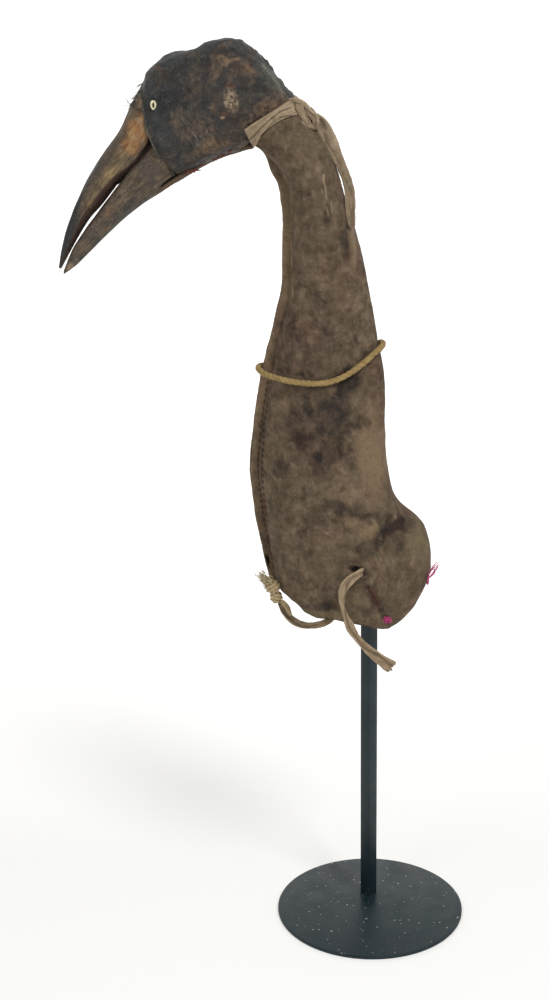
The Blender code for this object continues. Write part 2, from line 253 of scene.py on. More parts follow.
def strip(name, points, width, thick, turn=0.0, rings=90, sides=20, curl=0.0, wrinkle=0.25, seed=1, frayed=0.0, start=(0.0, -1.0, 0.0), square=0.7, shade=0.0, groove=0.0):
    """A leather thong: a flattened strip that follows points, turned about its line, with creases along it.

    width, thick, turn and curl are numbers or tables of values along the strip. Returns the mesh and the line of its rings' centres.
    """
    p, length = resample(points, rings)
    t, u, v = frames(p, start)
    s = np.linspace(0, 1, rings)

    def along(value):
        if np.ndim(value) == 0:
            return np.full(rings, float(value))
        return table_at(np.array(value, float)[:, None], s)[:, 0]

    w, h, a, c = along(width) * MM, along(thick) * MM, np.radians(along(turn)), along(curl)
    th = np.linspace(0, 2 * math.pi, sides, endpoint=False)
    cx = np.sign(np.cos(th)) * np.abs(np.cos(th)) ** square
    cy = np.sign(np.sin(th)) * np.abs(np.sin(th)) ** 0.9
    x = w[:, None] / 2 * cx
    y = h[:, None] / 2 * cy + c[:, None] * w[:, None] * (cx**2 - 0.4)
    q = np.stack(np.broadcast_arrays(s[:, None] * length, th[None, :] * 0.0 + 3.0 * np.cos(th)[None, :] * MM, 3.0 * np.sin(th)[None, :] * MM), -1)
    wr = wrinkle * MM * (noise(q, (0.016, 0.0016, 0.0016), seed) + 0.6 * noise(q, (0.004, 0.003, 0.003), seed + 3))
    k = 1 + wr / (np.hypot(x, y) + 1e-6)
    x, y = x * k, y * k
    # a fold that wanders along each face
    wander = 0.45 * np.sin(s * length / 0.013 + seed) + 0.25 * np.sin(s * length / 0.0051 + 2 * seed)
    crease = bell(cx[None, :] - wander[:, None] * np.sign(cy)[None, :], 0.24) * (np.abs(cy)[None, :] > 0.1)
    y = y * (1 - groove * crease)
    end = np.minimum(np.minimum(s, 1 - s) * length / (0.35 * h.mean()), 1.0)
    close = np.sqrt(np.clip(1 - (1 - end) ** 2, 0.02, 1))
    close = np.where(s > 0.5, np.where(frayed > 0, np.maximum(close, 0.85), close), close)
    x, y = x * close[:, None], y * close[:, None]
    ca, sa = np.cos(a)[:, None], np.sin(a)[:, None]
    xr, yr = x * ca - y * sa, x * sa + y * ca
    g = p[:, None, :] + xr[..., None] * v[:, None, :] + yr[..., None] * u[:, None, :]
    if frayed:  # ragged end: the points near it move on by different amounts
        reach = ramp(1 - 0.10, 1, s)[:, None] * frayed * MM * (0.2 + noise(np.stack([cx * 3, cy * 3, cx * 0 + seed], -1), 0.9, seed)[None, :])
        g = g + reach[..., None] * t[:, None, :]
    verts = np.vstack([g.reshape(-1, 3), g[0].mean(0), g[-1].mean(0) - t[-1] * 0.3 * MM * (1 if frayed else 0)])
    faces = grid_faces(rings, sides)
    n = rings * sides
    faces += [[n, (j + 1) % sides, j] for j in range(sides)]
    faces += [[n + 1, n - sides + j, n - sides + (j + 1) % sides] for j in range(sides)]
    mesh = mesh_of(name, verts, faces)
    outward(mesh)
    fib = np.stack(np.broadcast_arrays((s * length)[:, None], 0.5 * x, 0.5 * y), -1).reshape(-1, 3)
    tips = np.array([[0, 0, 0], [length, 0, 0]])
    edge = np.abs(cx)[None, :] ** 3 + 0 * s[:, None]
    dull = along(shade)[:, None] + 0 * cx[None, :]
    dull = np.clip(np.maximum(dull, (0.9 if groove else 0.0) * crease) + 0.25 * (groove > 0) * noise(g, 0.010, seed + 5), 0, 1)
    paint(mesh, fibre=np.vstack([fib, tips]), edge=np.append(edge.ravel(), [0, 0]), shade=np.append(dull.ravel(), [0.8, 0.8]))
    return mesh, p, length


def thread(name, lines, radius, sides=6):
    """Thin round threads along several lines, all in one mesh. radius is one number or one for each end."""
    r0, r1 = (radius, radius) if np.ndim(radius) == 0 else radius
    verts, faces = [], []
    th = np.linspace(0, 2 * math.pi, sides, endpoint=False)
    for line in lines:
        p = np.array(line, float)
        _, u, v = frames(p, (0.13, -0.97, 0.21))
        r = np.linspace(r0, r1, len(p))[:, None, None]
        g = p[:, None, :] + r * (np.cos(th)[None, :, None] * u[:, None, :] + np.sin(th)[None, :, None] * v[:, None, :])
        first = len(verts)
        verts.extend(g.reshape(-1, 3))
        faces += grid_faces(len(p), sides, first=first)
        n = first + len(p) * sides
        verts += [p[0], p[-1]]
        faces += [[n, first + (j + 1) % sides, first + j] for j in range(sides)]
        faces += [[n + 1, n - sides + j, n - sides + (j + 1) % sides] for j in range(sides)]
    mesh = mesh_of(name, verts, faces)
    outward(mesh)
    return mesh


# ------------------------------------------------------------------ materials
class Mat:
    """A small helper that builds a node material step by step."""

    def __init__(self, name, rough=0.8, **fixed):
        self.m = bpy.data.materials.new(name)
        self.m.use_nodes = True
        self.t = self.m.node_tree
        self.out = self.t.nodes["Principled BSDF"]
        self.out.inputs["Roughness"].default_value = rough
        for k, v in fixed.items():
            self.out.inputs[k.replace("_", " ")].default_value = v
        self.place = self.t.nodes.new("ShaderNodeTexCoord").outputs["Object"]

    def put(self, node, **inputs):
        for k, v in inputs.items():
            s = node.inputs[k.replace("_", " ")] if isinstance(k, str) else node.inputs[k]
            if isinstance(v, bpy.types.NodeSocket):
                self.t.links.new(v, s)
            else:
                s.default_value = v
        return node

    def attr(self, name, vector=False):
        n = self.t.nodes.new("ShaderNodeAttribute")
        n.attribute_name = name
        return n.outputs["Vector" if vector else "Fac"]

    def noise(self, size, detail=4.0, rough=0.55, bend=0.0, at=None):
        """Noise whose features are size metres across."""
        n = self.t.nodes.new("ShaderNodeTexNoise")
        self.put(n, Vector=at or self.place, Scale=1 / size, Detail=detail, Roughness=rough, Distortion=bend)
        return n.outputs["Fac"]

    def cells(self, size, at=None, feature="F1"):
        n = self.t.nodes.new("ShaderNodeTexVoronoi")
        n.feature = feature
        self.put(n, Vector=at or self.place, Scale=1 / size)
        return n.outputs["Distance"]

    def scaled(self, vector, scale):
        n = self.t.nodes.new("ShaderNodeMapping")
        self.put(n, Vector=vector, Scale=scale)
        return n.outputs["Vector"]

    def ramp(self, fac, *stops):
        n = self.t.nodes.new("ShaderNodeValToRGB")
        e = n.color_ramp.elements
        while len(e) < len(stops):
            e.new(0.5)
        for el, (at, colour) in zip(e, stops):
            el.position = at
            el.color = (*colour, 1.0) if np.ndim(colour) else (colour, colour, colour, 1.0)
        self.put(n, Fac=fac)
        return n.outputs["Color"]

    def mix(self, fac, a, b, mode="MIX"):
        n = self.t.nodes.new("ShaderNodeMix")
        n.data_type, n.blend_type = "RGBA", mode
        for i, v in ((0, fac), (6, a), (7, b)):
            if isinstance(v, bpy.types.NodeSocket):
                self.t.links.new(v, n.inputs[i])
            else:
                n.inputs[i].default_value = (*v, 1.0) if np.ndim(v) else v
        return n.outputs[2]

    def math(self, op, a, b=0.0, clamp=False):
        n = self.t.nodes.new("ShaderNodeMath")
        n.operation, n.use_clamp = op, clamp
        for i, v in enumerate((a, b)):
            if isinstance(v, bpy.types.NodeSocket):
                self.t.links.new(v, n.inputs[i])
            else:
                n.inputs[i].default_value = v
        return n.outputs[0]

    def broken(self, name, size, bite=1.0, most=1.0, full=1.0):
        """A painted map with its edges broken up by noise of the given size, so that a stain looks soaked in or worn,
        and painted shade, highlights and sheen fade out unevenly.
        """
        n = self.math("MULTIPLY", self.math("SUBTRACT", self.noise(size, 6, 0.7, 0.5), 0.5), bite)
        v = self.math("ADD", self.attr(name), n)
        v = self.math("MULTIPLY", self.ramp(v, (0.12, 0.0), (full, 1.0)), most)
        return self.math("MULTIPLY", v, self.ramp(self.attr(name), (0.0, 0.0), (0.30, 1.0)), True)

    def bump(self, height, depth, before=None):
        n = self.t.nodes.new("ShaderNodeBump")
        self.put(n, Height=height, Distance=depth, Strength=1.0)
        if before:
            self.t.links.new(before, n.inputs["Normal"])
        return n.outputs["Normal"]

    def done(self, colour, rough=None, normal=None):
        self.t.links.new(colour, self.out.inputs["Base Color"])
        if rough:
            self.t.links.new(rough, self.out.inputs["Roughness"])
        if normal:
            self.t.links.new(normal, self.out.inputs["Normal"])
        return self.m


def srgb(*c):
    """Linear colour of a screen colour given from 0 to 255."""
    return tuple(((v / 255 + 0.055) / 1.055) ** 2.4 if v > 10 else v / 255 / 12.92 for v in c)


def neck_material():
    k = Mat("neck_hide", 0.88, Specular_IOR_Level=0.18)
    big = k.noise(0.060, 4, 0.55, 0.3)
    mid = k.noise(0.020, 5, 0.60, 0.3)
    small = k.noise(0.0070, 5, 0.60, 0.2)
    base = k.ramp(mid, (0.37, srgb(68, 54, 44)), (0.46, srgb(91, 76, 62)), (0.54, srgb(101, 85, 69)), (0.63, srgb(128, 109, 88)))
    base = k.mix(0.5, base, k.ramp(big, (0.38, srgb(96, 70, 60)), (0.47, srgb(101, 85, 69)), (0.55, srgb(90, 82, 62)), (0.63, srgb(112, 92, 76))))
    base = k.mix(0.40, base, k.ramp(small, (0.36, srgb(66, 46, 38)), (0.46, srgb(91, 79, 61)), (0.54, srgb(107, 89, 75)), (0.65, srgb(138, 121, 98))))
    # pale worn patches, and painted highlights on the ridge, the bulge under the strap and the fin
    base = k.mix(k.broken("light", 0.009, 0.7, 0.8), base, srgb(134, 113, 88))
    base = k.mix(k.broken("olive", 0.010, 0.7, 0.8), base, srgb(124, 111, 82))
    # stains, and painted shade in the creases, the pocket, the fin's gutter, under the cord and inside the neck
    base = k.mix(k.broken("dark", 0.0110, 1.4, 0.92, 0.72), base, k.ramp(mid, (0.44, srgb(36, 34, 34)), (0.56, srgb(50, 37, 31))))
    base = k.mix(k.broken("red", 0.004, 0.7, 0.9), base, srgb(92, 42, 30))
    base = k.mix(k.attr("line"), base, srgb(160, 140, 112))
    # painted shade in slits, grooves and under the strap, and dark stitch holes
    base = k.mix(k.attr("pit"), base, srgb(22, 16, 14))
    base = k.mix(1.0, base, k.ramp(k.noise(0.0022, 3, 0.6), (0.30, 0.88), (0.50, 1.0), (0.72, 1.11)), "MULTIPLY")
    base = k.mix(1.0, base, k.ramp(k.noise(0.0036, 4, 0.6, 0.3), (0.28, 0.62), (0.37, 0.96), (0.66, 1.0), (0.78, 1.12)), "MULTIPLY")
    streak = k.noise(0.0030, 4, 0.6, 0.6, k.scaled(k.place, (1.0, 1.0, 0.16)))
    base = k.mix(1.0, base, k.ramp(streak, (0.32, 0.92), (0.50, 1.0), (0.70, 1.07)), "MULTIPLY")
    h = k.bump(k.noise(0.0080, 5, 0.6, 0.6), 0.0024)
    h = k.bump(k.noise(0.0020, 3, 0.6), 0.0004, h)
    return k.done(base, k.ramp(mid, (0.3, 0.95), (0.7, 0.78)), h)


def head_material():
    k = Mat("head_hide", 0.55, Specular_IOR_Level=0.46)
    big = k.noise(0.026, 5, 0.60, 1.0)
    mid = k.noise(0.0095, 5, 0.64, 1.1)
    base = k.ramp(mid, (0.37, srgb(24, 24, 26)), (0.46, srgb(43, 40, 38)), (0.54, srgb(60, 54, 48)), (0.64, srgb(98, 84, 68)))
    base = k.mix(0.4, base, k.ramp(big, (0.38, srgb(30, 33, 36)), (0.48, srgb(50, 44, 43)), (0.56, srgb(50, 49, 43)), (0.65, srgb(80, 66, 52))))
    # painted blue sheen on the hide's top edges and cheek
    base = k.mix(k.broken("cool", 0.008, 1.2, 0.75), base, srgb(56, 64, 67))
    base = k.mix(k.broken("brown", 0.0070, 2.6, 0.72), base, k.ramp(mid, (0.42, srgb(84, 62, 44)), (0.58, srgb(128, 102, 74))))
    base = k.mix(k.broken("soot", 0.006, 0.9, 0.85), base, srgb(27, 26, 28))
    streak = k.noise(0.0021, 5, 0.7, 0.5, k.scaled(k.attr("grain", True), (1.0, 0.22, 1.0)))
    base = k.mix(k.math("MULTIPLY", k.attr("wrinkle"), k.ramp(streak, (0.50, 0.0), (0.64, 0.9)), True), base, srgb(118, 106, 90))
    # rust spots, and the painted highlight by the eye
    base = k.mix(k.broken("rust", 0.003, 0.6, 0.85), base, srgb(112, 60, 38))
    base = k.mix(k.attr("lip"), base, srgb(122, 121, 106))
    crumbs = k.ramp(k.noise(0.0026, 5, 0.75, 0.8), (0.40, 1.0), (0.50, 0.15), (0.56, 0.0))
    flake = k.mix(crumbs, k.ramp(k.noise(0.004, 3, 0.6), (0.4, srgb(120, 98, 76)), (0.6, srgb(196, 172, 140))), srgb(48, 38, 32))
    base = k.mix(k.broken("flake", 0.0034, 2.8, 0.88), base, flake)
    # painted shade on the underside, in folds and tucks, and under the strap and the lip
    base = k.mix(k.attr("pit"), base, srgb(14, 11, 11))
    base = k.mix(1.0, base, k.ramp(k.noise(0.0024, 5, 0.68, 0.6), (0.32, 0.66), (0.50, 1.0), (0.68, 1.36)), "MULTIPLY")
    h = k.bump(k.noise(0.0062, 6, 0.64, 0.6), 0.0040)
    h = k.bump(k.noise(0.0015, 4, 0.62), 0.0005, h)
    return k.done(base, k.ramp(mid, (0.38, 0.36), (0.62, 0.64)), h)


def horn_material():
    k = Mat("horn", 0.5, Specular_IOR_Level=0.4)
    f = k.attr("fibre", True)
    long = k.noise(0.0022, 5, 0.6, 0.5, k.scaled(f, (0.10, 1, 1)))
    fine = k.noise(0.0007, 4, 0.6, 0.0, k.scaled(f, (0.07, 1, 1)))
    mot = k.noise(0.008, 5, 0.65, 0.8)
    base = k.ramp(mot, (0.34, srgb(54, 43, 34)), (0.46, srgb(82, 68, 52)), (0.57, srgb(99, 82, 62)), (0.68, srgb(128, 108, 80)))
    base = k.mix(0.40, base, k.ramp(long, (0.34, srgb(44, 34, 27)), (0.47, srgb(80, 66, 50)), (0.56, srgb(98, 81, 62)), (0.68, srgb(134, 114, 86))))
    base = k.mix(1.0, base, k.ramp(k.noise(0.0040, 6, 0.70, 1.0), (0.34, 0.55), (0.47, 0.92), (0.55, 1.02), (0.66, 1.42)), "MULTIPLY")
    base = k.mix(k.broken("grey", 0.005, 1.3, 0.75), base, srgb(68, 63, 62))
    base = k.mix(k.broken("orange", 0.0042, 2.2, 0.78), base, k.ramp(long, (0.42, srgb(136, 86, 46)), (0.58, srgb(168, 128, 80))))
    base = k.mix(k.math("MULTIPLY", k.attr("pale"), k.ramp(long, (0.40, 0.10), (0.6, 0.8)), True), base, srgb(146, 124, 84))
    base = k.mix(k.broken("spot", 0.004, 0.7, 0.75), base, srgb(172, 148, 116))
    # black tip and spots, and on the lower half painted shade along its rim
    base = k.mix(k.broken("black", 0.006, 0.5, 0.95), base, srgb(34, 38, 41))
    base = k.mix(k.attr("inner"), base, k.ramp(long, (0.35, srgb(34, 22, 18)), (0.6, srgb(72, 48, 38))))
    # painted shade in the gape, the hollow and under the hide
    base = k.mix(k.attr("pit"), base, srgb(18, 13, 12))
    wisp = k.noise(0.0016, 5, 0.7, 2.2, k.scaled(f, (0.30, 1, 1)))
    base = k.mix(k.math("MULTIPLY", k.attr("wisp"), k.ramp(wisp, (0.58, 0.0), (0.70, 0.8)), True), base, srgb(176, 158, 132))
    base = k.mix(1.0, base, k.ramp(fine, (0.30, 0.74), (0.50, 1.0), (0.72, 1.26)), "MULTIPLY")
    h = k.bump(long, 0.0007)
    h = k.bump(fine, 0.00025, h)
    return k.done(base, k.ramp(mot, (0.3, 0.42), (0.7, 0.66)), h)


def leather_material(name, low, mean, high, edge, rough=0.8):
    k = Mat(name, rough, Specular_IOR_Level=0.25)
    f = k.attr("fibre", True)
    long = k.noise(0.0020, 4, 0.6, 0.4, k.scaled(f, (0.12, 1, 1)))
    mot = k.noise(0.0055, 5, 0.65, 0.6)
    base = k.ramp(long, (0.30, low), (0.50, mean), (0.70, high))
    base = k.mix(0.45, base, k.ramp(mot, (0.32, low), (0.5, mean), (0.68, high)))
    base = k.mix(k.math("MULTIPLY", k.attr("edge"), 0.5), base, edge)
    base = k.mix(k.math("MULTIPLY", k.attr("shade"), 0.8), base, tuple(v * 0.42 for v in low))
    base = k.mix(1.0, base, k.ramp(k.noise(0.0010, 3, 0.6), (0.30, 0.78), (0.5, 1.0), (0.70, 1.18)), "MULTIPLY")
    h = k.bump(long, 0.0007)
    h = k.bump(k.noise(0.0010, 3, 0.6), 0.0003, h)
    return k.done(base, None, h)


def thread_material(name, low, high, size=0.0012, rough=0.75):
    k = Mat(name, rough, Specular_IOR_Level=0.3)
    base = k.ramp(k.noise(size, 3, 0.6), (0.35, low), (0.65, high))
    return k.done(base, None, k.bump(k.noise(0.0005, 2, 0.5), 0.0002))


def paint_material():
    k = Mat("steel_paint", 0.42, Specular_IOR_Level=0.27)
    base = k.ramp(k.noise(0.035, 5, 0.6), (0.35, srgb(21, 36, 42)), (0.65, srgb(30, 46, 51)))
    base = k.mix(1.0, base, k.ramp(k.noise(0.0012, 3, 0.6), (0.3, 0.90), (0.7, 1.10)), "MULTIPLY")
    low_down = k.t.nodes.new("ShaderNodeSeparateXYZ")
    k.t.links.new(k.place, low_down.inputs[0])
    dust = k.ramp(k.noise(0.0026, 1, 0.3), (0.745, 0.0), (0.775, 1.0))
    dust = k.math("MULTIPLY", dust, k.math("LESS_THAN", low_down.outputs["Z"], 0.012))
    base = k.mix(k.math("MULTIPLY", dust, 0.8), base, srgb(190, 192, 188))
    h = k.bump(k.noise(0.0014, 3, 0.55), 0.00016)
    return k.done(base, k.ramp(k.noise(0.018, 4, 0.6), (0.35, 0.34), (0.65, 0.50)), h)


# ------------------------------------------------------------------ sizes, as in the CAD
NECK = (
    (-66.0, 250.0, 34.0, 250.0, 43.0),
    (-79.0, 288.0, 46.0, 288.0, 47.5),
    (-86.0, 316.0, 50.2, 316.0, 49.0),
    (-91.5, 345.0, 45.5, 345.0, 47.0),
    (-95.2, 371.0, 23.0, 370.0, 42.5),
    (-97.0, 398.0, 14.4, 400.0, 37.5),
    (-94.6, 430.0, 12.0, 432.0, 33.0),
    (-88.0, 470.0, 11.4, 470.0, 29.5),
    (-79.0, 508.0, 5.2, 510.0, 27.5),
    (-70.2, 545.0, -1.8, 548.0, 26.5),
    (-68.4, 580.0, -10.0, 583.0, 26.0),
    (-68.3, 604.0, -16.8, 606.0, 25.5),
    (-71.0, 624.0, -22.8, 627.0, 25.0),
    (-77.0, 637.5, -29.5, 646.0, 24.5),
    (-83.0, 648.5, -38.0, 662.0, 23.0),
    (-87.0, 658.0, -48.0, 675.0, 20.5),
    (-92.4, 668.8, -57.5, 690.0, 18.5),
)
RIM = (
    (-84.0, 316.0), (-74.0, 298.0), (-63.0, 292.0), (-56.0, 284.5), (-46.0, 281.5), (-31.0, 282.0), (-12.0, 277.6),
    (7.0, 272.2), (14.0, 270.0), (19.0, 272.0), (27.0, 277.0), (35.0, 284.5), (44.0, 300.0), (50.0, 311.0),
)
HIDE = 3.0 * MM
FIN, FIN_ENDS = 7.0 * MM, (0.80, 0.93)
LOBE_AT, LOBE_DIP, LOBE_Z = 0.016, 0.0075, (0.262, 0.352)
HEAD = (
    (-151.9, 636.2, -173.2, 701.6, 20.5),
    (-146.0, 635.8, -167.0, 712.6, 24.0),
    (-134.0, 640.6, -152.0, 724.6, 27.5),
    (-121.0, 646.0, -134.0, 728.4, 29.5),
    (-110.5, 650.6, -115.0, 734.6, 30.0),
    (-104.6, 652.8, -98.5, 732.8, 29.0),
    (-99.6, 655.4, -82.6, 721.2, 26.0),
    (-95.6, 658.0, -72.2, 709.4, 22.4),
    (-93.4, 661.6, -62.4, 696.6, 18.6),
)
UPPER_BEAK = (
    (-174.6, 699.6, -164.5, 660.7, 17.0),
    (-182.0, 686.4, -171.2, 650.2, 16.0),
    (-191.4, 668.4, -181.0, 638.4, 14.2),
    (-206.6, 647.8, -192.0, 627.5, 11.8),
    (-219.4, 627.2, -205.0, 611.8, 9.4),
    (-229.8, 606.4, -218.0, 597.9, 7.0),
    (-238.4, 584.8, -231.3, 577.8, 4.6),
    (-243.2, 564.0, -241.3, 562.6, 1.6),
)
LOWER_BEAK = (
    (-164.2, 660.6, -152.4, 627.0, 16.4),
    (-172.2, 652.4, -162.6, 620.6, 15.4),
    (-184.3, 639.2, -176.8, 612.0, 13.0),
    (-195.8, 624.7, -192.0, 600.6, 10.4),
    (-207.6, 610.4, -206.0, 588.0, 8.2),
    (-219.8, 595.0, -219.6, 575.2, 6.0),
    (-231.4, 578.8, -231.6, 564.0, 3.8),
    (-239.6, 561.6, -239.8, 558.4, 1.4),
)
UPPER_ROLL = (2.0, 20.0)
STRAP_FROM, STRAP_TO = (0.955, 0.974, 0.942), 1.004
TAIL = (
    (-44.2, 11.0, 676.9), (-37.4, 12.0, 670.5), (-30.3, 13.0, 656.9), (-25.0, 13.6, 645.3), (-20.4, 13.6, 634.8),
    (-17.2, 12.2, 623.3), (-16.1, 6.6, 612.3), (-15.6, 2.6, 603.6), (-15.0, -0.4, 594.9),
)
SIDE_TIE = (
    (-8.4, -32.4, 325.6), (-11.4, -36.4, 325.6), (-17.0, -37.8, 322.6), (-22.6, -38.0, 316.0),
    (-25.4, -38.0, 307.6), (-24.6, -38.2, 297.8), (-21.6, -38.2, 287.0), (-17.0, -37.6, 276.4),
    (-10.4, -36.6, 266.4), (-2.0, -35.4, 257.4), (7.0, -34.2, 249.4), (14.6, -33.4, 243.4),
)
FRONT_TIE = (
    (-74.4, 2.6, 287.4), (-72.2, 2.4, 281.4), (-68.2, 1.6, 275.0), (-62.8, 0.4, 270.4),
    (-56.0, -1.4, 268.2), (-48.6, -3.8, 268.6), (-41.0, -7.0, 271.0), (-34.0, -11.0, 275.4),
    (-28.4, -14.6, 282.4),
)
CORD_D, CORD_Z, CORD_TILT, CORD_SAG = 0.0045, 0.4902, 0.0092, 0.0150
CORD_LIE = ((-1.0, 0.0), (-0.67, 2.2), (-0.36, 2.0), (0.05, 0.0), (0.30, 0.4), (0.59, 2.4), (0.82, 2.8), (1.0, 0.0))  # share of the half width, mm


# ------------------------------------------------------------------ shape of the neck's body
def neck_frame(s):
    rows = table_at(NECK, s) * MM
    across = np.stack([rows[:, 2] - rows[:, 0], 0 * rows[:, 0], rows[:, 3] - rows[:, 1]], -1)
    w = np.linalg.norm(across, axis=1) / 2
    mid = np.stack([(rows[:, 0] + rows[:, 2]) / 2, 0 * w + MID, (rows[:, 1] + rows[:, 3]) / 2], -1)
    return mid, across / (2 * w[:, None]), w, rows[:, 4]


def fin_at(s):
    return FIN * (1 - ramp(*FIN_ENDS, s))


def lobe(x, z):
    up = ramp(LOBE_Z[0] - 0.02, LOBE_Z[0] + 0.01, z) * (1 - ramp(LOBE_Z[1] - 0.02, LOBE_Z[1] + 0.012, z))
    return LOBE_DIP * up * ramp(LOBE_AT - 0.007, LOBE_AT + 0.007, x)


def neck_point(s, a, grow=0.0):
    """Points of the neck's body at s and at angle a from the rear, moved out by grow."""
    s, a = np.broadcast_arrays(np.asarray(s, float), np.asarray(a, float))
    shape, s, a = s.shape, s.ravel(), a.ravel()
    mid, across, w, d = neck_frame(s)
    fin = fin_at(s)
    mid = mid + across * fin[:, None] / 2
    w = w - fin / 2 + grow
    c, k = np.cos(a), np.sin(a)
    p = mid + across * (w * c)[:, None]
    dip = lobe(p[:, 0], p[:, 2])
    reach = np.maximum(d - dip * (1 - np.abs(c) ** 6) + grow, 0.001)
    p[:, 1] -= reach * np.sign(k) * np.abs(k) ** 0.92
    return p.reshape(*shape, 3)


def rim_s(a, grow=0.0):
    a = np.asarray(a, float)
    lo, hi = np.zeros_like(a), np.full_like(a, 0.30)
    xs, zs = np.array(RIM).T * MM
    for _ in range(30):
        m = (lo + hi) / 2
        p = neck_point(m, a, grow)
        above = p[..., 2] > np.interp(p[..., 0], xs, zs)
        lo, hi = np.where(above, lo, m), np.where(above, m, hi)
    return (lo + hi) / 2


def strap_low(a):
    """Where along the neck the strap's lower edge runs, at angle a."""
    nape, side, throat = STRAP_FROM
    return side + (np.where(np.cos(a) > 0, nape, throat) - side) * np.cos(a) ** 2


def near_side(p):
    """Points as if they were on the seen side, so that both sides share their features, and 1 on the seen side."""
    q = np.array(p, float)
    q[..., 1] = MID - np.abs(q[..., 1] - MID)
    return q, ramp(-0.006, 0.002, MID - p[..., 1])


def cord_height(a):
    """Height of the cord at angle a from the rear; on the seen side it lies in straighter runs with a bend between."""
    c = np.cos(a)
    share, rise = zip(*CORD_LIE)
    lie = np.mean([np.interp(c + k, share, rise) for k in (-0.07, -0.035, 0.0, 0.035, 0.07)], axis=0)
    return CORD_Z + CORD_TILT * c - CORD_SAG * np.sin(a) ** 2 + lie * MM * ramp(0.0, 0.3, np.sin(a))


def cord_ring(a, lift):
    """Points of the cord's loop round the neck, at angle a from the rear."""
    z = cord_height(a)
    lo, hi = np.full_like(a, 0.2), np.full_like(a, 0.8)
    for _ in range(30):
        s = (lo + hi) / 2
        mid, across, w, _ = neck_frame(s)
        p = mid + across * ((w + CORD_D / 2 + 0.0010) * np.cos(a))[:, None]
        below = p[:, 2] < z
        lo, hi = np.where(below, s, lo), np.where(below, hi, s)
    mid, across, w, d = neck_frame(s)
    d = d + CORD_D / 2 + lift
    return np.stack([p[:, 0], MID - d * np.sign(np.sin(a)) * np.abs(np.sin(a)) ** 0.9, z], -1)


# ------------------------------------------------------------------ camera and cords first
make_camera()
LEATHER = leather_material("thong_leather", srgb(106, 88, 67), srgb(144, 123, 96), srgb(174, 153, 124), srgb(184, 165, 137))
STRAP_LEATHER = leather_material("strap_leather", srgb(118, 100, 78), srgb(150, 131, 106), srgb(178, 160, 134), srgb(184, 166, 140))


def make_ties():
    tail, path, length = strip(
        "strap_tail", np.array(TAIL) * MM, (10.6, 11.8, 10.8, 8.8, 7.2, 7.6, 8.0, 7.4, 5.6), (4.6, 4.2, 3.6, 3.2, 3.0, 2.8, 2.6, 2.4, 2.0),
        (-30, -16, -6, 4, 14, 24, 12, -6, -16), rings=130, sides=30, curl=(0.06, 0.10, 0.12, 0.14, 0.20, 0.22, 0.16, 0.12, 0.05), wrinkle=0.48, seed=5, shade=(0.22, 0.24, 0.28, 0.40, 0.52, 0.50, 0.50, 0.56, 0.65), groove=0.45,
    )
    o = piece(link("strap_tail_twisted", tail), "strap_leather", "strap_tail")
    tail.materials.append(STRAP_LEATHER)

    side, path, length = strip(
        "side_tie", np.array(SIDE_TIE) * MM, (6.6, 7.0, 7.2, 6.8, 6.4, 7.0, 7.2, 6.6, 7.0, 7.4, 8.6, 11.0), (3.4, 3.4, 3.2, 3.6, 3.6, 3.0, 3.0, 3.4, 3.0, 2.8, 2.4, 1.8),
        (10, -6, -24, 20, 58, 34, -4, 36, 24, 0, -12, 0), rings=190, sides=30, curl=(0.08, 0.16, 0.2, 0.2, 0.12, 0.1, 0.2, 0.22, 0.16, 0.12, 0.06, 0.0), wrinkle=0.55, seed=9, frayed=3.4, shade=(0.0, 0.0, 0.0, 0.04, 0.04, 0.0, 0.0, 0.0, 0.0, 0.0, 0.0, 0.12), groove=0.14,
    )
    o = piece(link("side_tie_twisted", side), "strap_leather", "side_tie")
    side.materials.append(LEATHER)

    front, path, length = strip(
        "front_tie", np.array(FRONT_TIE) * MM, (4.6, 5.6, 6.4, 6.0, 6.0, 6.4, 5.6, 4.6, 3.6), (3.0, 2.6, 2.4, 2.6, 2.4, 2.2, 2.2, 2.0, 2.0),
        (0, 26, 44, 10, -16, -34, -20, 0, 0), rings=120, sides=28, curl=0.14, wrinkle=0.42, seed=13, shade=(0.1, 0.1, 0.1, 0.2, 0.3, 0.35, 0.4, 0.5, 0.6), groove=0.45,
    )
    o = piece(link("front_tie_twisted", front), "strap_leather", "front_tie")
    front.materials.append(LEATHER)


# ------------------------------------------------------------------ neck
BODY_COLS, FIN_COLS, NECK_ROWS = 84, 9, 380
FIN_PROFILE = (  # from the gutter to the groove between the two layers: back from the edge, out from the middle, mm
    (7.6, 2.35), (6.4, 2.05), (4.8, 1.95), (3.0, 1.95), (1.4, 1.95), (0.45, 1.72), (0.0, 1.15), (0.25, 0.50), (1.3, 0.06),
)


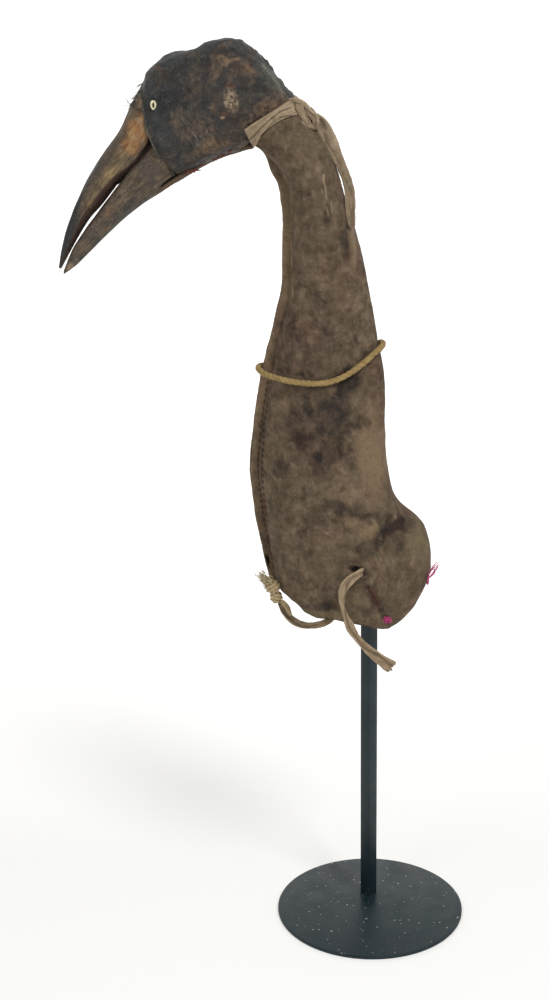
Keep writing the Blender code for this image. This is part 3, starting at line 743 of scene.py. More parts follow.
def neck_grid():
    """Rings of the neck's outer face from the rim up, its columns' angles, and each column's place on the seam's fin."""
    share = np.linspace(0, 1, NECK_ROWS)
    cols, angle, finny = [], [], []
    for side in (1, -1):
        half = []
        for k in range(BODY_COLS + FIN_COLS):
            body = min(k / BODY_COLS, 1.0)
            a_rim = min(math.pi * body, math.pi * 0.985)
            s0 = rim_s(np.array([side * a_rim]))[0]
            s = s0 + (1 - s0) * share
            _, _, _, d = neck_frame(s)
            gut = np.arcsin(np.clip(2.9 * MM / d, 0, 1) ** (1 / 0.92))
            if k < BODY_COLS:
                a = (math.pi - gut) * body
                p = neck_point(s, side * a)
                half.append((p, a, 0.0, s))
                continue
            m = k - BODY_COLS
            a = math.pi - gut * (1 - m / (FIN_COLS - 1) * 0.98)
            p = neck_point(s, side * a)
            mid, across, w, _ = neck_frame(s)
            tip = mid - across * w[:, None]
            back, out = FIN_PROFILE[m]
            z = tip[:, 2]
            flat = np.stack([0 * z, 0 * z + side, z], -1)
            grip = 1 - back / 9.0
            back = back * MM + grip * 0.7 * MM * (noise(flat, 0.022, 31) + 0.6 * noise(flat, 0.007, 37)) + (0.35 * MM if side > 0 else 0) * grip
            lean = grip * 1.1 * MM * noise(np.stack([0 * z, 0 * z, z], -1), 0.045, 41)
            q = tip + across * back[:, None] if np.ndim(back) else tip + across * back
            q = q + np.stack([0 * z, -side * out * MM * (1 + 0.18 * noise(flat, 0.011, 43)) + lean, 0 * z], -1)
            f = (fin_at(s) / FIN)[:, None]
            half.append((p + (q - p) * f, a, (m + 1) / FIN_COLS, s))
        if side < 0:
            half = half[1:][::-1]
        for p, a, f, s in half:
            cols.append(p)
            angle.append(a * side)
            finny.append(np.full(NECK_ROWS, f))
            if len(angle) == 1:
                ss = []
            ss.append(s)
    return np.stack(cols, 1), np.stack([np.broadcast_to(a, NECK_ROWS) for a in angle], 1), np.stack(finny, 1), np.stack(ss, 1)


RIDGE = ((372, 519), (379, 528), (382, 540), (382, 550), (379, 562), (374, 574), (370, 585))
LOW_CREASE = ((364, 578), (369, 590), (375, 601), (382, 611), (388, 620))
POCKET = ((379, 541), (386, 533), (394, 527), (402, 521))
TOP_CREASE = ((322, 503), (336, 508), (350, 513), (364, 516), (378, 521))
SLIT = (357.5, 571.5, 6.6, 4.3, 28)
NAPE_RIDGE = ((338, 168), (345, 186), (349, 205), (352, 228), (354, 262))
INNER_SEAM = ((272, 176), (283, 192), (291, 210), (292.5, 235), (292.5, 298), (288, 320), (281, 342), (274, 380), (267, 400), (263, 425), (262, 455), (262, 490), (265, 512), (271, 545), (280, 570))


def make_neck():
    g, ang, fin, s = neck_grid()
    n = grid_normals(g)
    p = g.reshape(-1, 3)
    q, near = near_side(p)
    px = seen(q) + 2.0 * np.stack([noise(q, 0.010, 51), noise(q, 0.010, 52)], -1)
    sharp = seen(q) + 0.7 * np.stack([noise(q, 0.006, 53), noise(q, 0.006, 54)], -1)
    both = 0.45 + 0.55 * near  # features are fainter on the unseen side
    a, f, s = ang.ravel(), fin.ravel(), s.ravel()
    body = 1 - ramp(0.0, 0.12, f)
    rear = ramp(-0.25, 0.15, np.cos(a))

    # relief, mm
    out = 1.10 * noise(p, 0.060, 61) + 0.60 * noise(p, 0.024, 62) + 0.28 * noise(p, 0.010, 63) + 0.12 * noise(p, 0.0045, 64)
    d, w = to_line(sharp, RIDGE)
    out += both * 2.2 * bell(d, 3.2) * ramp(0, 0.15, w) * (1 - 0.5 * ramp(0.7, 1, w))
    behind = ramp(0, 8, sharp[:, 0] - np.interp(sharp[:, 1], [519, 540, 562, 585], [373, 382, 379, 370]))
    out -= both * 2.6 * behind * bell(d, 13) * ramp(508, 524, sharp[:, 1]) * (1 - ramp(570, 600, sharp[:, 1]))
    d, w = to_line(sharp, LOW_CREASE)
    crease = bell(d, 4.6) * ramp(0.0, 0.25, w)
    out -= both * 2.7 * crease
    d, w = to_line(sharp, POCKET)
    pocket = bell(d, 8.5)
    out -= both * 3.4 * pocket
    d, w = to_line(sharp, TOP_CREASE)
    dent = bell(d, 8.0) * np.sin(math.pi * np.clip(w * 0.9 + 0.1, 0, 1))
    out -= both * 1.7 * dent
    slit = patch(seen(q), *SLIT, soft=0.22) * near
    lipped = patch(seen(q), SLIT[0], SLIT[1], SLIT[2] * 1.5, SLIT[3] * 1.6, SLIT[4], soft=0.35) * near
    out += 0.6 * lipped - 4.6 * slit
    d, w = to_line(sharp, NAPE_RIDGE)
    nape = bell(d, 2.2) * np.sin(math.pi * w) ** 0.5
    out += both * 0.7 * nape
    d, w = to_line(seen(q), INNER_SEAM)
    seam = bell(d, 1.7)
    stitch_y = seen(q)[:, 1]
    out -= 0.75 * seam * (0.6 + 0.4 * np.sin(stitch_y * 2 * math.pi / 6.4)) * ramp(0.05, 0.2, w)
    dcord = np.abs(p[:, 2] - cord_height(a)) / MM
    out -= 0.9 * bell(dcord, 4.5)
    below = (strap_low(a) - s) * 470  # mm below the strap's lower edge
    bulge = ramp(-0.6, 2.2, below) * (1 - ramp(3, 20, below))
    out += bulge * (3.6 + 0.5 * noise(p, 0.012, 71)) * (0.45 + 0.55 * np.abs(np.sin(a))) - 0.5 * (1 - ramp(-2.0, 0.5, below))
    hem = bell((s - rim_s_of(a)) * 470 / 2.6, 1.0)
    out += 0.45 * hem
    out *= body
    # opened end of the seam
    open_seam = patch(seen(p), 267.6, 561, 1.5, 7.5, -12, soft=0.3) * near
    out -= 1.6 * open_seam
    p = p + n.reshape(-1, 3) * (out * MM)[:, None]
    rag = bell((s - rim_s_of(a)) * 470 / 4.0, 1.0)
    p[:, 2] += rag * MM * (0.9 * noise(p, 0.016, 73) + 0.4 * noise(p, 0.005, 74))
    outer = p.reshape(g.shape)

    # inner face, from the collar down
    cols = 96
    th = np.linspace(0, 2 * math.pi, cols, endpoint=False)
    s0 = rim_s(th)
    share = np.linspace(1, 0, 70)
    si, ai = s0[None, :] + (1 - s0)[None, :] * share[:, None], th[None, :] + 0 * share[:, None]
    spots = seen(near_side(neck_point(si, ai, -2.2 * MM).reshape(-1, 3))[0])
    deep = np.max([bell(to_line(spots, line)[0], wide) for line, wide in ((POCKET, 22), (LOW_CREASE, 15), (TOP_CREASE, 18), (RIDGE, 20))], axis=0)
    ins = neck_point(si, ai, -(2.4 + 3.6 * deep) * MM)
    inner = ins + (noise(ins, 0.02, 77) * 0.5 * MM)[..., None] * np.array([0, 1, 0])

    rows, oc = outer.shape[:2]
    verts = np.vstack([outer.reshape(-1, 3), inner.reshape(-1, 3)])
    faces = grid_faces(rows, oc)
    first = rows * oc
    faces += grid_faces(70, cols, first=first)
    faces += bridge(range(first + 69 * cols, first + 70 * cols), range(0, oc), verts)  # rim
    faces += bridge(range((rows - 1) * oc, rows * oc), range(first, first + cols), verts)  # collar
    mesh = mesh_of("neck_hide", verts, faces)
    outward(mesh)

    # where the stains, worn places and lines are, and where shade and highlights are painted in: shade in creases,
    # pocket, gutter, under strap and cord and inside the neck; highlights on ridges, bulge and fin
    def many(*spots, soft=0.55):
        v = np.zeros(len(px))
        for x, y, rx, ry, turn, k in spots:
            v = np.maximum(v, k * patch(px, x, y, rx, ry, turn, soft))
        return v

    dark = many(
        (350, 380, 13, 13, -50, 0.90), (343, 392, 10, 14, 0, 0.8), (337, 412, 17, 26, 8, 0.66), (295, 419, 14, 12, 0, 0.60), (304, 438, 15, 13, 20, 0.84),
        (320, 431, 16, 8, 20, 0.6), (329, 450, 17, 26, 12, 0.66), (275, 458, 8, 10, 0, 0.30), (316, 476, 5, 12, 0, 0.45), (332, 481, 5, 9, 0, 0.42), (290, 322, 6, 26, 4, 0.6),
        (326, 345, 12, 14, 0, 0.35), (340, 242, 7, 6, 0, 0.45), (347, 258, 3, 34, 0, 0.4), (305, 338, 16, 8, 0, 0.4), (276, 350, 7, 20, 12, 0.3), (300, 366, 18, 10, 0, 0.25), (327, 280, 9, 8, 0, 0.3), (311, 200, 10, 7, 0, 0.25),
        (297, 372, 30, 4, 8, 0.35), (366, 428, 7, 5, 0, 0.22), (300, 600, 26, 8, 12, 0.35), (322, 606, 16, 5, 4, 0.5), (276, 325, 4, 8, 0, 0.5),
        (318, 523, 22, 14, 0, 0.28), (306, 520, 10, 10, 0, 0.2), (330, 215, 8, 12, 0, 0.3), (312, 590, 22, 12, 0, 0.15), (365, 575, 8, 10, 0, 0.3), (270, 585, 6, 20, 0, 0.15),
    ) * both
    # painted shade in the low crease, the pocket and the top dent
    dark = np.maximum(dark, np.clip(0.80 * crease * both + 1.00 * pocket * both + 0.34 * dent * both, 0, 0.98))
    # painted shade over the pocket and the two creases
    dark = np.maximum(dark, 0.74 * patch(px, 396, 530, 20, 13, -25, 0.9) * both)
    dark = np.maximum(dark, 0.60 * patch(px, 362, 516, 26, 7, 14, 0.9) * both)
    dark = np.maximum(dark, 0.46 * patch(px, 377, 600, 9, 22, -28, 0.9) * both)
    # painted shade in the gutter beside the fin
    dark = np.maximum(dark, 0.12 * bell(f - 0.25, 0.30) * (f > 0))
    dark = np.maximum(dark, 0.56 * patch(px, 322, 425, 40, 50, 10, 0.9) * both)
    dark = np.maximum(dark, 0.38 * patch(px, 318, 345, 34, 44, 0, 0.9) * both)
    dark = np.clip(0.80 * dark + 0.25 * ramp(0.15, 0.6, fbm(p, (0.014, 0.014, 0.02), 4, 81)), 0, 1)
    # pale patches; the ones on the ridge beside the pocket are painted highlights
    light = many(
        (372, 455, 14, 50, -4, 0.95), (362, 520, 20, 8, 10, 0.5), (372, 532, 12, 10, 0, 0.8), (355, 488, 30, 16, 10, 0.4), (289, 275, 5, 60, 0, 0.55), (351, 235, 4, 30, -8, 0.5), (310, 155, 20, 22, 0, 0.25),
        (268, 440, 6, 60, 0, 0.25), (318, 572, 26, 14, 0, 0.2), (300, 200, 14, 20, 0, 0.2), (284, 215, 6, 34, 0, 0.4), (384, 575, 8, 12, 0, 0.25), (262, 400, 6, 12, 0, 0.3),
    ) * both
    # painted highlights on the bulge below the strap and on the fin, which faces away from the lamp
    light = np.clip(light + 0.6 * bulge * 0.3 + 0.3 * ramp(0.2, 0.7, fbm(p, 0.03, 3, 83)) + 0.45 * (f > 0) * bell(f - 0.5, 0.5), 0, 1)
    olive = np.maximum(0.55 * patch(px, 416, 540, 15, 26, 5, 0.9) * both, 0) + 0.7 * many((417, 535, 8, 14, 5, 0.3), (428, 560, 6, 20, 0, 0.35), (325, 614, 28, 4.5, 3, 0.8), (360, 602, 9, 8, 0, 0.7), (275, 460, 10, 14, 0, 0.25), (300, 452, 12, 10, 0, 0.2), (337, 512, 16, 4, 0, 0.3)) * both
    red = many((263, 503, 2.0, 9, 0, 0.85), (383, 558, 2.4, 7, 8, 0.45), (367, 497, 3, 3, 0, 0.3), (340, 517, 6, 3, 0, 0.3), (376, 600, 5, 15, -25, 0.42), (290, 402, 5, 8, 0, 0.2), (310, 330, 5, 8, 0, 0.2), soft=0.5) * both
    qs = seen(q)
    red = np.maximum(red, 0.35 * bell(to_line(qs, INNER_SEAM)[0], 2.4) * ramp(390, 420, qs[:, 1]) * (1 - ramp(505, 540, qs[:, 1])) * (0.5 + 0.5 * noise(q, 0.004, 85)))
    line = 0.55 * bell(to_line(qs, ((291, 232), (292, 262), (292.5, 298)))[0], 0.8) * ramp(-0.3, 0.3, noise(q, 0.012, 86)) * near
    for x0, y0, x1, y1, k in ((323, 175, 324, 184, 0.9), (325, 186, 326.5, 199, 0.95), (321.5, 190, 322, 194, 0.5), (331, 203, 332, 213, 0.6), (327, 209, 328, 216, 0.6), (335, 172, 336, 178, 0.4), (345, 214, 346, 219, 0.5)):
        line = np.maximum(line, k * bell(to_line(sharp, ((x0, y0), (x1, y1)))[0], 0.62) * near)
    # painted highlights along the lobe's ridge and the nape's ridge
    line = np.maximum(line, 0.50 * both * bell(to_line(sharp, RIDGE)[0], 1.7) * ramp(-0.4, 0.4, noise(q, 0.008, 87)))
    line = np.maximum(line, 0.30 * bell(to_line(sharp, NAPE_RIDGE)[0], 1.2) * both)
    line = np.maximum(line, 0.28 * bell((f - 0.70) * 6, 1.0) * ramp(-0.3, 0.4, noise(p, 0.018, 88)) * (f > 0))
    for x, y, r in ((396.7, 515.7, 1.1), (326, 533.7, 0.9), (279.5, 381.5, 0.8)):
        line = np.maximum(line, near * 1.6 * bell(np.linalg.norm(qs - (x, y), axis=1), r))
    # painted shade in the seam's slit and opened end, under the strap's lower edge and in the groove at the fin's end;
    # the stitch holes are dark dots
    pit = np.maximum(0.95 * slit, open_seam)
    pit = np.maximum(pit, 0.85 * bell(below - 0.2, 0.9) * (0.4 + 0.6 * np.abs(np.sin(a))))
    pit = np.maximum(pit, 0.8 * ramp(0.93, 0.99, f))
    wet = to_line(qs, INNER_SEAM)[0]
    dots = bell(wet, 1.1) * ramp(0.35, 0.75, np.sin(stitch_y * 2 * math.pi / 6.4) * 0.5 + 0.5 + 0.3 * noise(q, 0.005, 89)) * ramp(392, 408, stitch_y) * (1 - ramp(505, 520, stitch_y))
    pit = np.maximum(pit, 0.85 * dots)
    # painted shadow under the cord
    dark = np.maximum(dark, 0.40 * bell(dcord - 3.4, 2.2) * (p[:, 2] < cord_height(a)))
    m = cols * 70
    # the inner face is painted dark as shade inside the neck
    zero, inside = np.zeros(m), np.full(m, 0.75)
    paint(mesh, dark=np.append(dark, inside), light=np.append(light, zero), olive=np.append(olive, zero), red=np.append(red, zero), line=np.append(np.clip(line, 0, 1), zero), pit=np.append(np.clip(pit, 0, 1), zero))
    mesh.materials.append(neck_material())
    piece(link("neck_hide_sewn", mesh), "neck_hide", "neck")
    return outer, a.reshape(g.shape[:2])


_RIM_A = np.linspace(-math.pi, math.pi, 241)
_RIM_S = None


def rim_s_of(a):
    global _RIM_S
    if _RIM_S is None:
        _RIM_S = rim_s(_RIM_A)
    return np.interp((a + math.pi) % (2 * math.pi) - math.pi, _RIM_A, _RIM_S)


def bridge(one, two, verts):
    """Faces between two closed rings with different numbers of points, by turning angle."""
    one, two = list(one), list(two)
    v = np.asarray(verts)

    def turn(ids):
        q = v[ids] - v[ids].mean(0)
        return np.unwrap(np.arctan2(q[:, 1], q[:, 0]))

    ta, tb = turn(one), turn(two)
    if (ta[-1] - ta[0]) * (tb[-1] - tb[0]) < 0:
        two, tb = two[::-1], tb[::-1]
        tb = np.unwrap(tb)
    way = 1 if ta[-1] > ta[0] else -1
    k = int(np.argmin(np.abs((tb - ta[0] + math.pi) % (2 * math.pi) - math.pi)))
    two = two[k:] + two[:k]
    tb = turn(two)
    tb = tb - round((tb[0] - ta[0]) / (2 * math.pi)) * 2 * math.pi
    na, nb = len(one), len(two)
    ta, tb = np.append(ta, ta[0] + way * 2 * math.pi), np.append(tb, tb[0] + way * 2 * math.pi)
    i = j = 0
    faces = []
    while i < na or j < nb:
        if j >= nb or (i < na and (ta[i + 1] - tb[j + 1]) * way <= 0):
            faces.append([one[i % na], one[(i + 1) % na], two[j % nb]])
            i += 1
        else:
            faces.append([one[i % na], two[(j + 1) % nb], two[j % nb]])
            j += 1
    return faces


# ------------------------------------------------------------------ head
def collar(a, f, grow):
    """Points where the head's hide runs down under the strap: f 1 at the strap's top, less at the throat."""
    a = np.asarray(a, float)
    throat = ramp(2.1, 3.0, math.pi - np.abs(np.abs(a % (2 * math.pi) - math.pi)))
    low = strap_low(a)
    return neck_point(low + (1.0 - low) * (f - 0.75 * throat), a, grow)


def head_grid(rows=190, cols=240):
    t = np.linspace(0, 1, rows)
    r = table_at(HEAD, t) * MM
    up = np.stack([r[:, 2] - r[:, 0], 0 * t, r[:, 3] - r[:, 1]], -1) / 2
    mid = np.stack([(r[:, 0] + r[:, 2]) / 2, 0 * t + MID, (r[:, 1] + r[:, 3]) / 2], -1)
    a = np.linspace(0, 2 * math.pi, cols, endpoint=False)
    c, k = np.cos(a), np.sin(a)
    g = mid[:, None] + up[:, None] * c[None, :, None]
    hug = 1 - 0.10 * (1 - ramp(0.0, 0.09, t))
    g[..., 1] -= (r[:, 4] * hug)[:, None] * (np.sign(k) * np.abs(k) ** 0.94)[None, :]
    # the front edge bows forward over the beak on both sides
    d = up[0] / np.linalg.norm(up[0])
    g += np.array([-d[2], 0, d[0]]) * (6.4 * MM * (1 - ramp(0.0, 0.24, t))[:, None] * (np.abs(k) ** 1.7)[None, :])[..., None]
    # the rear end runs down on the neck, under the strap
    f = np.clip((t - 0.80) / 0.20, 0, 1)
    ends = np.stack([collar(a, 1.30 - 0.32 * x, (1.6 - 0.5 * x) * MM) for x in f[f > 0]])
    b = ramp(0.0, 1.0, f[f > 0])[:, None, None]
    g[f > 0] = g[f > 0] * (1 - b) + ends * b
    return g, t, a


def make_head():
    g, t, a = head_grid()
    n = grid_normals(g)
    rows, cols = g.shape[:2]
    p = g.reshape(-1, 3)
    nn = n.reshape(-1, 3)
    q, near = near_side(p)
    both = 0.5 + 0.5 * near
    raw = seen(q)
    px = raw + 2.0 * np.stack([noise(q, 0.009, 101), noise(q, 0.009, 102)], -1)
    tt = np.repeat(t, cols)
    aa = np.tile(a, rows)
    calm = 1 - 0.8 * ramp(0.90, 0.98, tt)
    out = 1.10 * noise(p, 0.034, 111) + 0.85 * noise(p, 0.014, 112) + 0.45 * noise(p, 0.006, 113) + 0.18 * noise(p, 0.0028, 114)
    top = bell(np.minimum(aa, 2 * math.pi - aa), 0.95)
    out += top * (1.8 * bell(tt - 0.11, 0.07) - 1.5 * bell(tt - 0.36, 0.05) - 1.6 * bell(tt - 0.90, 0.05))
    out += bell(np.minimum(aa, 2 * math.pi - aa), 0.5) * ramp(0.55, 0.62, tt) * (1.0 * noise(p, 0.0045, 124) + 0.6 * noise(p, 0.0018, 125))
    grain = np.stack([(raw[:, 0] * 0.80 - raw[:, 1] * 0.60), (raw[:, 0] * 0.60 + raw[:, 1] * 0.80), 0 * tt], -1) * 0.8 * MM
    # diagonal wrinkles of the cheek
    cheek = patch(raw, 196, 136, 24, 24, 35, 0.5) * both
    d = (raw[:, 0] * 0.80 + raw[:, 1] * -0.60) + 2.2 * noise(q, 0.014, 115)
    out += cheek * 0.42 * np.sin(d * 2 * math.pi / 6.5) * (0.6 + 0.5 * noise(q, 0.010, 126))
    d = (raw[:, 0] * 0.42 + raw[:, 1] * -0.90) + 2.0 * noise(q, 0.016, 127)
    out += patch(raw, 182, 88, 26, 26, 0, 0.5) * both * 0.30 * np.sin(d * 2 * math.pi / 9.0)
    # cracked, flaked patch stands a little proud
    flake = patch(raw + 3.0 * np.stack([noise(q, 0.005, 116), noise(q, 0.005, 117)], -1), 231.5, 100, 6.6, 11.0, -14, 0.55) * near
    flake = np.maximum(flake, 0.6 * patch(raw + 1.2 * np.stack([noise(q, 0.003, 118), noise(q, 0.003, 119)], -1), 222.5, 117.5, 2.2, 2.2, 0, 0.3) * near)
    out += 0.5 * flake + 0.4 * flake * noise(q, 0.0018, 120)
    # folds above the nape and behind the brow
    d, w = to_line(px, ((243, 88), (254, 86), (266, 90), (276, 98)))
    fold = bell(d, 3.0)
    out -= 0.9 * fold * both
    d, w = to_line(px, ((146, 78), (152, 70), (163, 66), (178, 64)))
    brow = bell(d, 3.2)
    out -= 0.7 * brow * both
    # the rear lip, where the hide's edge turns up
    rim = to_line(raw, ((262, 66), (270, 75), (277, 84), (283, 94)))
    out += 0.9 * bell(rim[0], 2.6) * near
    # ragged lower edges on both sides, sewn over the jaw, with the underside drawn in between
    under = np.abs(aa - math.pi)
    along_jaw = ramp(0.02, 0.1, tt) * (1 - ramp(0.88, 0.97, tt))
    edge_line = bell(under - 0.60, 0.10) * along_jaw
    out += (0.8 + 0.8 * noise(p, 0.004, 121)) * edge_line + (2.0 + 0.4 * noise(p, 0.007, 129)) * (1 - ramp(0.45, 1.1, under)) * along_jaw
    # front edge of the hide stands up as a soft lip over the beak
    lip = bell((tt - 0.014) * 130 / 1.5, 1.0)
    out += (0.5 + 0.4 * noise(p, 0.009, 122)) * lip
    p = p + nn * (out * calm * MM)[:, None]
    p[:, 0] -= bell(tt * 130 / 2.5, 1.0) * MM * (0.8 * noise(q, 0.008, 123) + 0.4 * noise(q, 0.003, 128))
    outer = p.reshape(g.shape)

    # under the strap: on to the neck's collar; under the lip: turned in
    tail = []
    first_ring = outer[0]
    for f, grow in ((0.92, 0.0010), (0.85, 0.0008), (0.80, 0.0004), (0.78, -0.0012)):
        # the neck's angle runs from the rear; the head's from its top, which lies over the rear
        tail.append(collar(a, f, grow))
    tail.append(neck_point(np.full(cols, 0.94), a, -0.0036))
    centre = first_ring.mean(0)
    back = g[6].mean(0) - g[0].mean(0)
    back /= np.linalg.norm(back)
    turned = []
    for inset, depth in ((0.0011, 0.0004), (0.0018, 0.0022), (0.0022, 0.0060), (0.0026, 0.0110)):
        rad = first_ring - centre
        ln = np.linalg.norm(rad, axis=1, keepdims=True)
        turned.append(centre + rad * (1 - inset / ln) + back * depth)
    rings = turned[::-1] + list(outer) + tail
    allp = np.stack(rings, 0)
    verts = allp.reshape(-1, 3)
    faces = grid_faces(len(rings), cols)
    verts = np.vstack([verts, allp[0].mean(0), allp[-1].mean(0)])
    nv = len(verts) - 2
    faces += [[nv, (j + 1) % cols, j] for j in range(cols)]
    faces += [[nv + 1, nv - cols + j, nv - cols + (j + 1) % cols] for j in range(cols)]
    mesh = mesh_of("head_hide", verts, faces)
    outward(mesh)

    def many(*spots, soft=0.55):
        v = np.zeros(len(px))
        for x, y, rx, ry, turn, k in spots:
            v = np.maximum(v, k * patch(px, x, y, rx, ry, turn, soft))
        return v

    brown = many(
        (222, 60, 17, 7, -8, 0.72), (243, 72, 13, 10, 30, 0.84), (258, 124, 18, 9, -30, 0.75), (279, 100, 8, 8, -30, 0.8), (240, 142, 13, 8, -20, 0.6), (214, 72, 9, 10, 0, 0.5), (196, 80, 6, 13, 0, 0.35), (247, 78, 9, 9, 0, 0.6), (228, 78, 7, 5, 0, 0.6), (234, 112, 16, 10, 0, 0.5), (216, 105, 8, 11, 0, 0.6),
        (240, 128, 18, 8, -20, 0.6), (268, 108, 18, 9, -25, 0.95), (178, 122, 8, 10, 40, 0.35), (212, 146, 24, 9, -25, 0.85), (190, 92, 10, 8, 0, 0.3), (228, 45, 14, 4, 0, 0.3), (250, 56, 8, 8, 0, 0.3), (196, 130, 20, 14, 0, 0.3),
    ) * both
    # painted sheen: blue-grey highlights along the top edges and on the cheek
    cool = many((165, 62, 22, 7, -22, 0.75), (200, 47, 16, 5, -14, 0.7), (236, 44, 16, 5, 12, 0.45), (256, 62, 10, 7, 40, 0.45), (150, 88, 5, 14, 0, 0.55), (162, 132, 10, 24, -20, 0.4), (166, 100, 20, 20, 0, 0.3), (270, 78, 9, 10, 30, 0.5)) * both
    soot = many((243, 80, 7, 5, 0, 0.85), (222, 80, 7, 4, 0, 0.8), (236, 117, 12, 9, 0, 0.55), (170, 102, 17, 13, 0, 0.75), (206, 94, 8, 18, 0, 0.45), (255, 98, 11, 9, 0, 0.45), (247, 110, 7, 6, 0, 0.5), (175, 75, 15, 5, 0, 0.35), (203, 112, 14, 8, 0, 0.35), (188, 148, 16, 10, 0, 0.35)) * both
    wrinkle = many((186, 118, 14, 9, 35, 0.8), (203, 138, 15, 13, 45, 0.9), (200, 155, 14, 6, -15, 0.55), (186, 132, 10, 14, 30, 0.5), (218, 132, 10, 10, 20, 0.35), (274, 84, 12, 10, 45, 0.4)) * both
    # rust-red spots; the spot by the eye is a painted highlight
    rust = many((157, 69, 3.4, 1.6, -10, 0.55), (247, 68, 3, 5, 0, 0.4), (158, 69, 5, 3, 0, 0.4), (224, 116, 5, 4, 0, 0.4), (213, 130, 8, 4, 0, 0.25), (231, 86, 6, 4, 0, 0.45), (232, 150, 10, 4, -20, 0.35), soft=0.4) * both
    stripes = 0.5 + 0.5 * np.sin((raw[:, 0] * 0.75 + raw[:, 1] * 0.66) * 2 * math.pi / 3.2)
    lipc = np.maximum(0.75 * lip * (0.55 + 0.45 * noise(q, 0.010, 131)), 0.85 * bell(rim[0] + 0.6, 2.2) * (0.45 + 0.55 * stripes) * near)
    lipc = np.clip(lipc + 0.4 * bell(rim[0] - 4, 4) * near * stripes * 0.5, 0, 1)
    # painted shade: the underside between the jaw's edges, the fold, the rear end under the strap and the lower hem are
    # darkened
    pit = np.maximum(0.75 * (1 - ramp(0.16, 0.34, under)) * along_jaw, 0.45 * fold * both)
    pit = np.maximum(pit, 0.45 * bell((1 - tt) * 130 / 1.2, 1.0))
    pit = np.maximum(pit, 0.62 * bell(under - 0.52, 0.12) * along_jaw * np.clip(0.75 + 0.5 * noise(q, 0.006, 132), 0, 1))
    # painted shade in the tuck beside the bead
    pit = np.maximum(pit, 0.75 * bell(to_line(raw, ((155, 103.5), (163, 103), (172, 103.5)))[0], 1.4) * near)
    front, rest = len(turned) * cols, len(tail) * cols
    z0, z1 = np.zeros(front), np.zeros(rest)

    def full(v, before=0.0, after=0.0, cap=0.0):
        return np.concatenate([z0 + before, np.clip(v, 0, 1), z1 + after, [cap, cap]])

    grain = np.vstack([np.zeros((front, 3)), grain, np.zeros((rest + 2, 3))])
    # the turned-in ring under the front lip, the run under the strap and the end caps are painted dark as shade
    paint(mesh, brown=full(brown), cool=full(cool), soot=full(soot), wrinkle=full(wrinkle), rust=full(rust), lip=full(lipc, 0.2), flake=full(flake), pit=full(pit, 0.9, 0.6, 1.0), grain=grain)
    mesh.materials.append(head_material())
    piece(link("head_hide_skin", mesh), "head_hide", "head")
    return outer


# ------------------------------------------------------------------ beak
def beak_roll(t, keel):
    """Degrees by which a beak half is rolled: both alike at the root, so that they meet, and apart towards the tip."""
    return 6 + 18 * ramp(0.22, 0.66, t) if keel > 0 else 6 * (1 - ramp(0.30, 0.60, t))


def beak_grid(table, rows, cols, keel, back=0.0):
    """Rings of a beak half, and for each column its angle; back carries it on under the hide."""
    t = np.concatenate([np.linspace(-back, 0, 6, endpoint=False), np.linspace(0, 1, rows)])
    r = table_at(table, np.clip(t, 0, 1)) * MM
    first = (np.array(table[1], float) - np.array(table[0], float)) * (len(table) - 1) * MM
    r = r + np.minimum(t, 0)[:, None] * first * np.array([1, 1, 1, 1, 0.3])
    up = np.stack([r[:, 0] - r[:, 2], 0 * t, r[:, 1] - r[:, 3]], -1)
    w = r[:, 4]
    rr = np.radians(beak_roll(np.clip(t, 0, 1), keel))
    ln = np.linalg.norm(up, axis=1)
    lean = w * np.sin(rr) / 2 if keel > 0 else 0 * w
    h = (ln / 2 - lean) / np.cos(rr)
    up /= ln[:, None]
    mid = np.stack([(r[:, 0] + r[:, 2]) / 2, 0 * t + MID, (r[:, 1] + r[:, 3]) / 2], -1) + up * lean[:, None]
    a = np.linspace(0, 2 * math.pi, cols, endpoint=False)
    v, u = np.cos(a), np.sin(a)
    flat = v * keel < 0
    v = np.where(flat, np.sign(v) * np.abs(v) ** 0.45, v)
    u = np.where(flat, np.sign(u) * np.abs(u) ** 0.55, u)
    U, V = u[None, :] * w[:, None], v[None, :] * h[:, None]
    c, s = np.cos(rr)[:, None], np.sin(rr)[:, None]
    g = mid[:, None] + up[:, None] * (V * c + U * s)[..., None] + np.array([0, -1.0, 0]) * (U * c - V * s)[..., None]
    along = np.concatenate([[0], np.cumsum(np.linalg.norm(np.diff(mid, axis=0), axis=1))])
    return g, t, a, along, U, V


def close_ends(g):
    """Points and faces of a grid of rings whose two ends are fanned shut."""
    rows, cols = g.shape[:2]
    verts = np.vstack([g.reshape(-1, 3), g[0].mean(0), g[-1].mean(0)])
    n = rows * cols
    faces = grid_faces(rows, cols)
    faces += [[n, (j + 1) % cols, j] for j in range(cols)]
    faces += [[n + 1, n - cols + j, n - cols + (j + 1) % cols] for j in range(cols)]
    return verts, faces


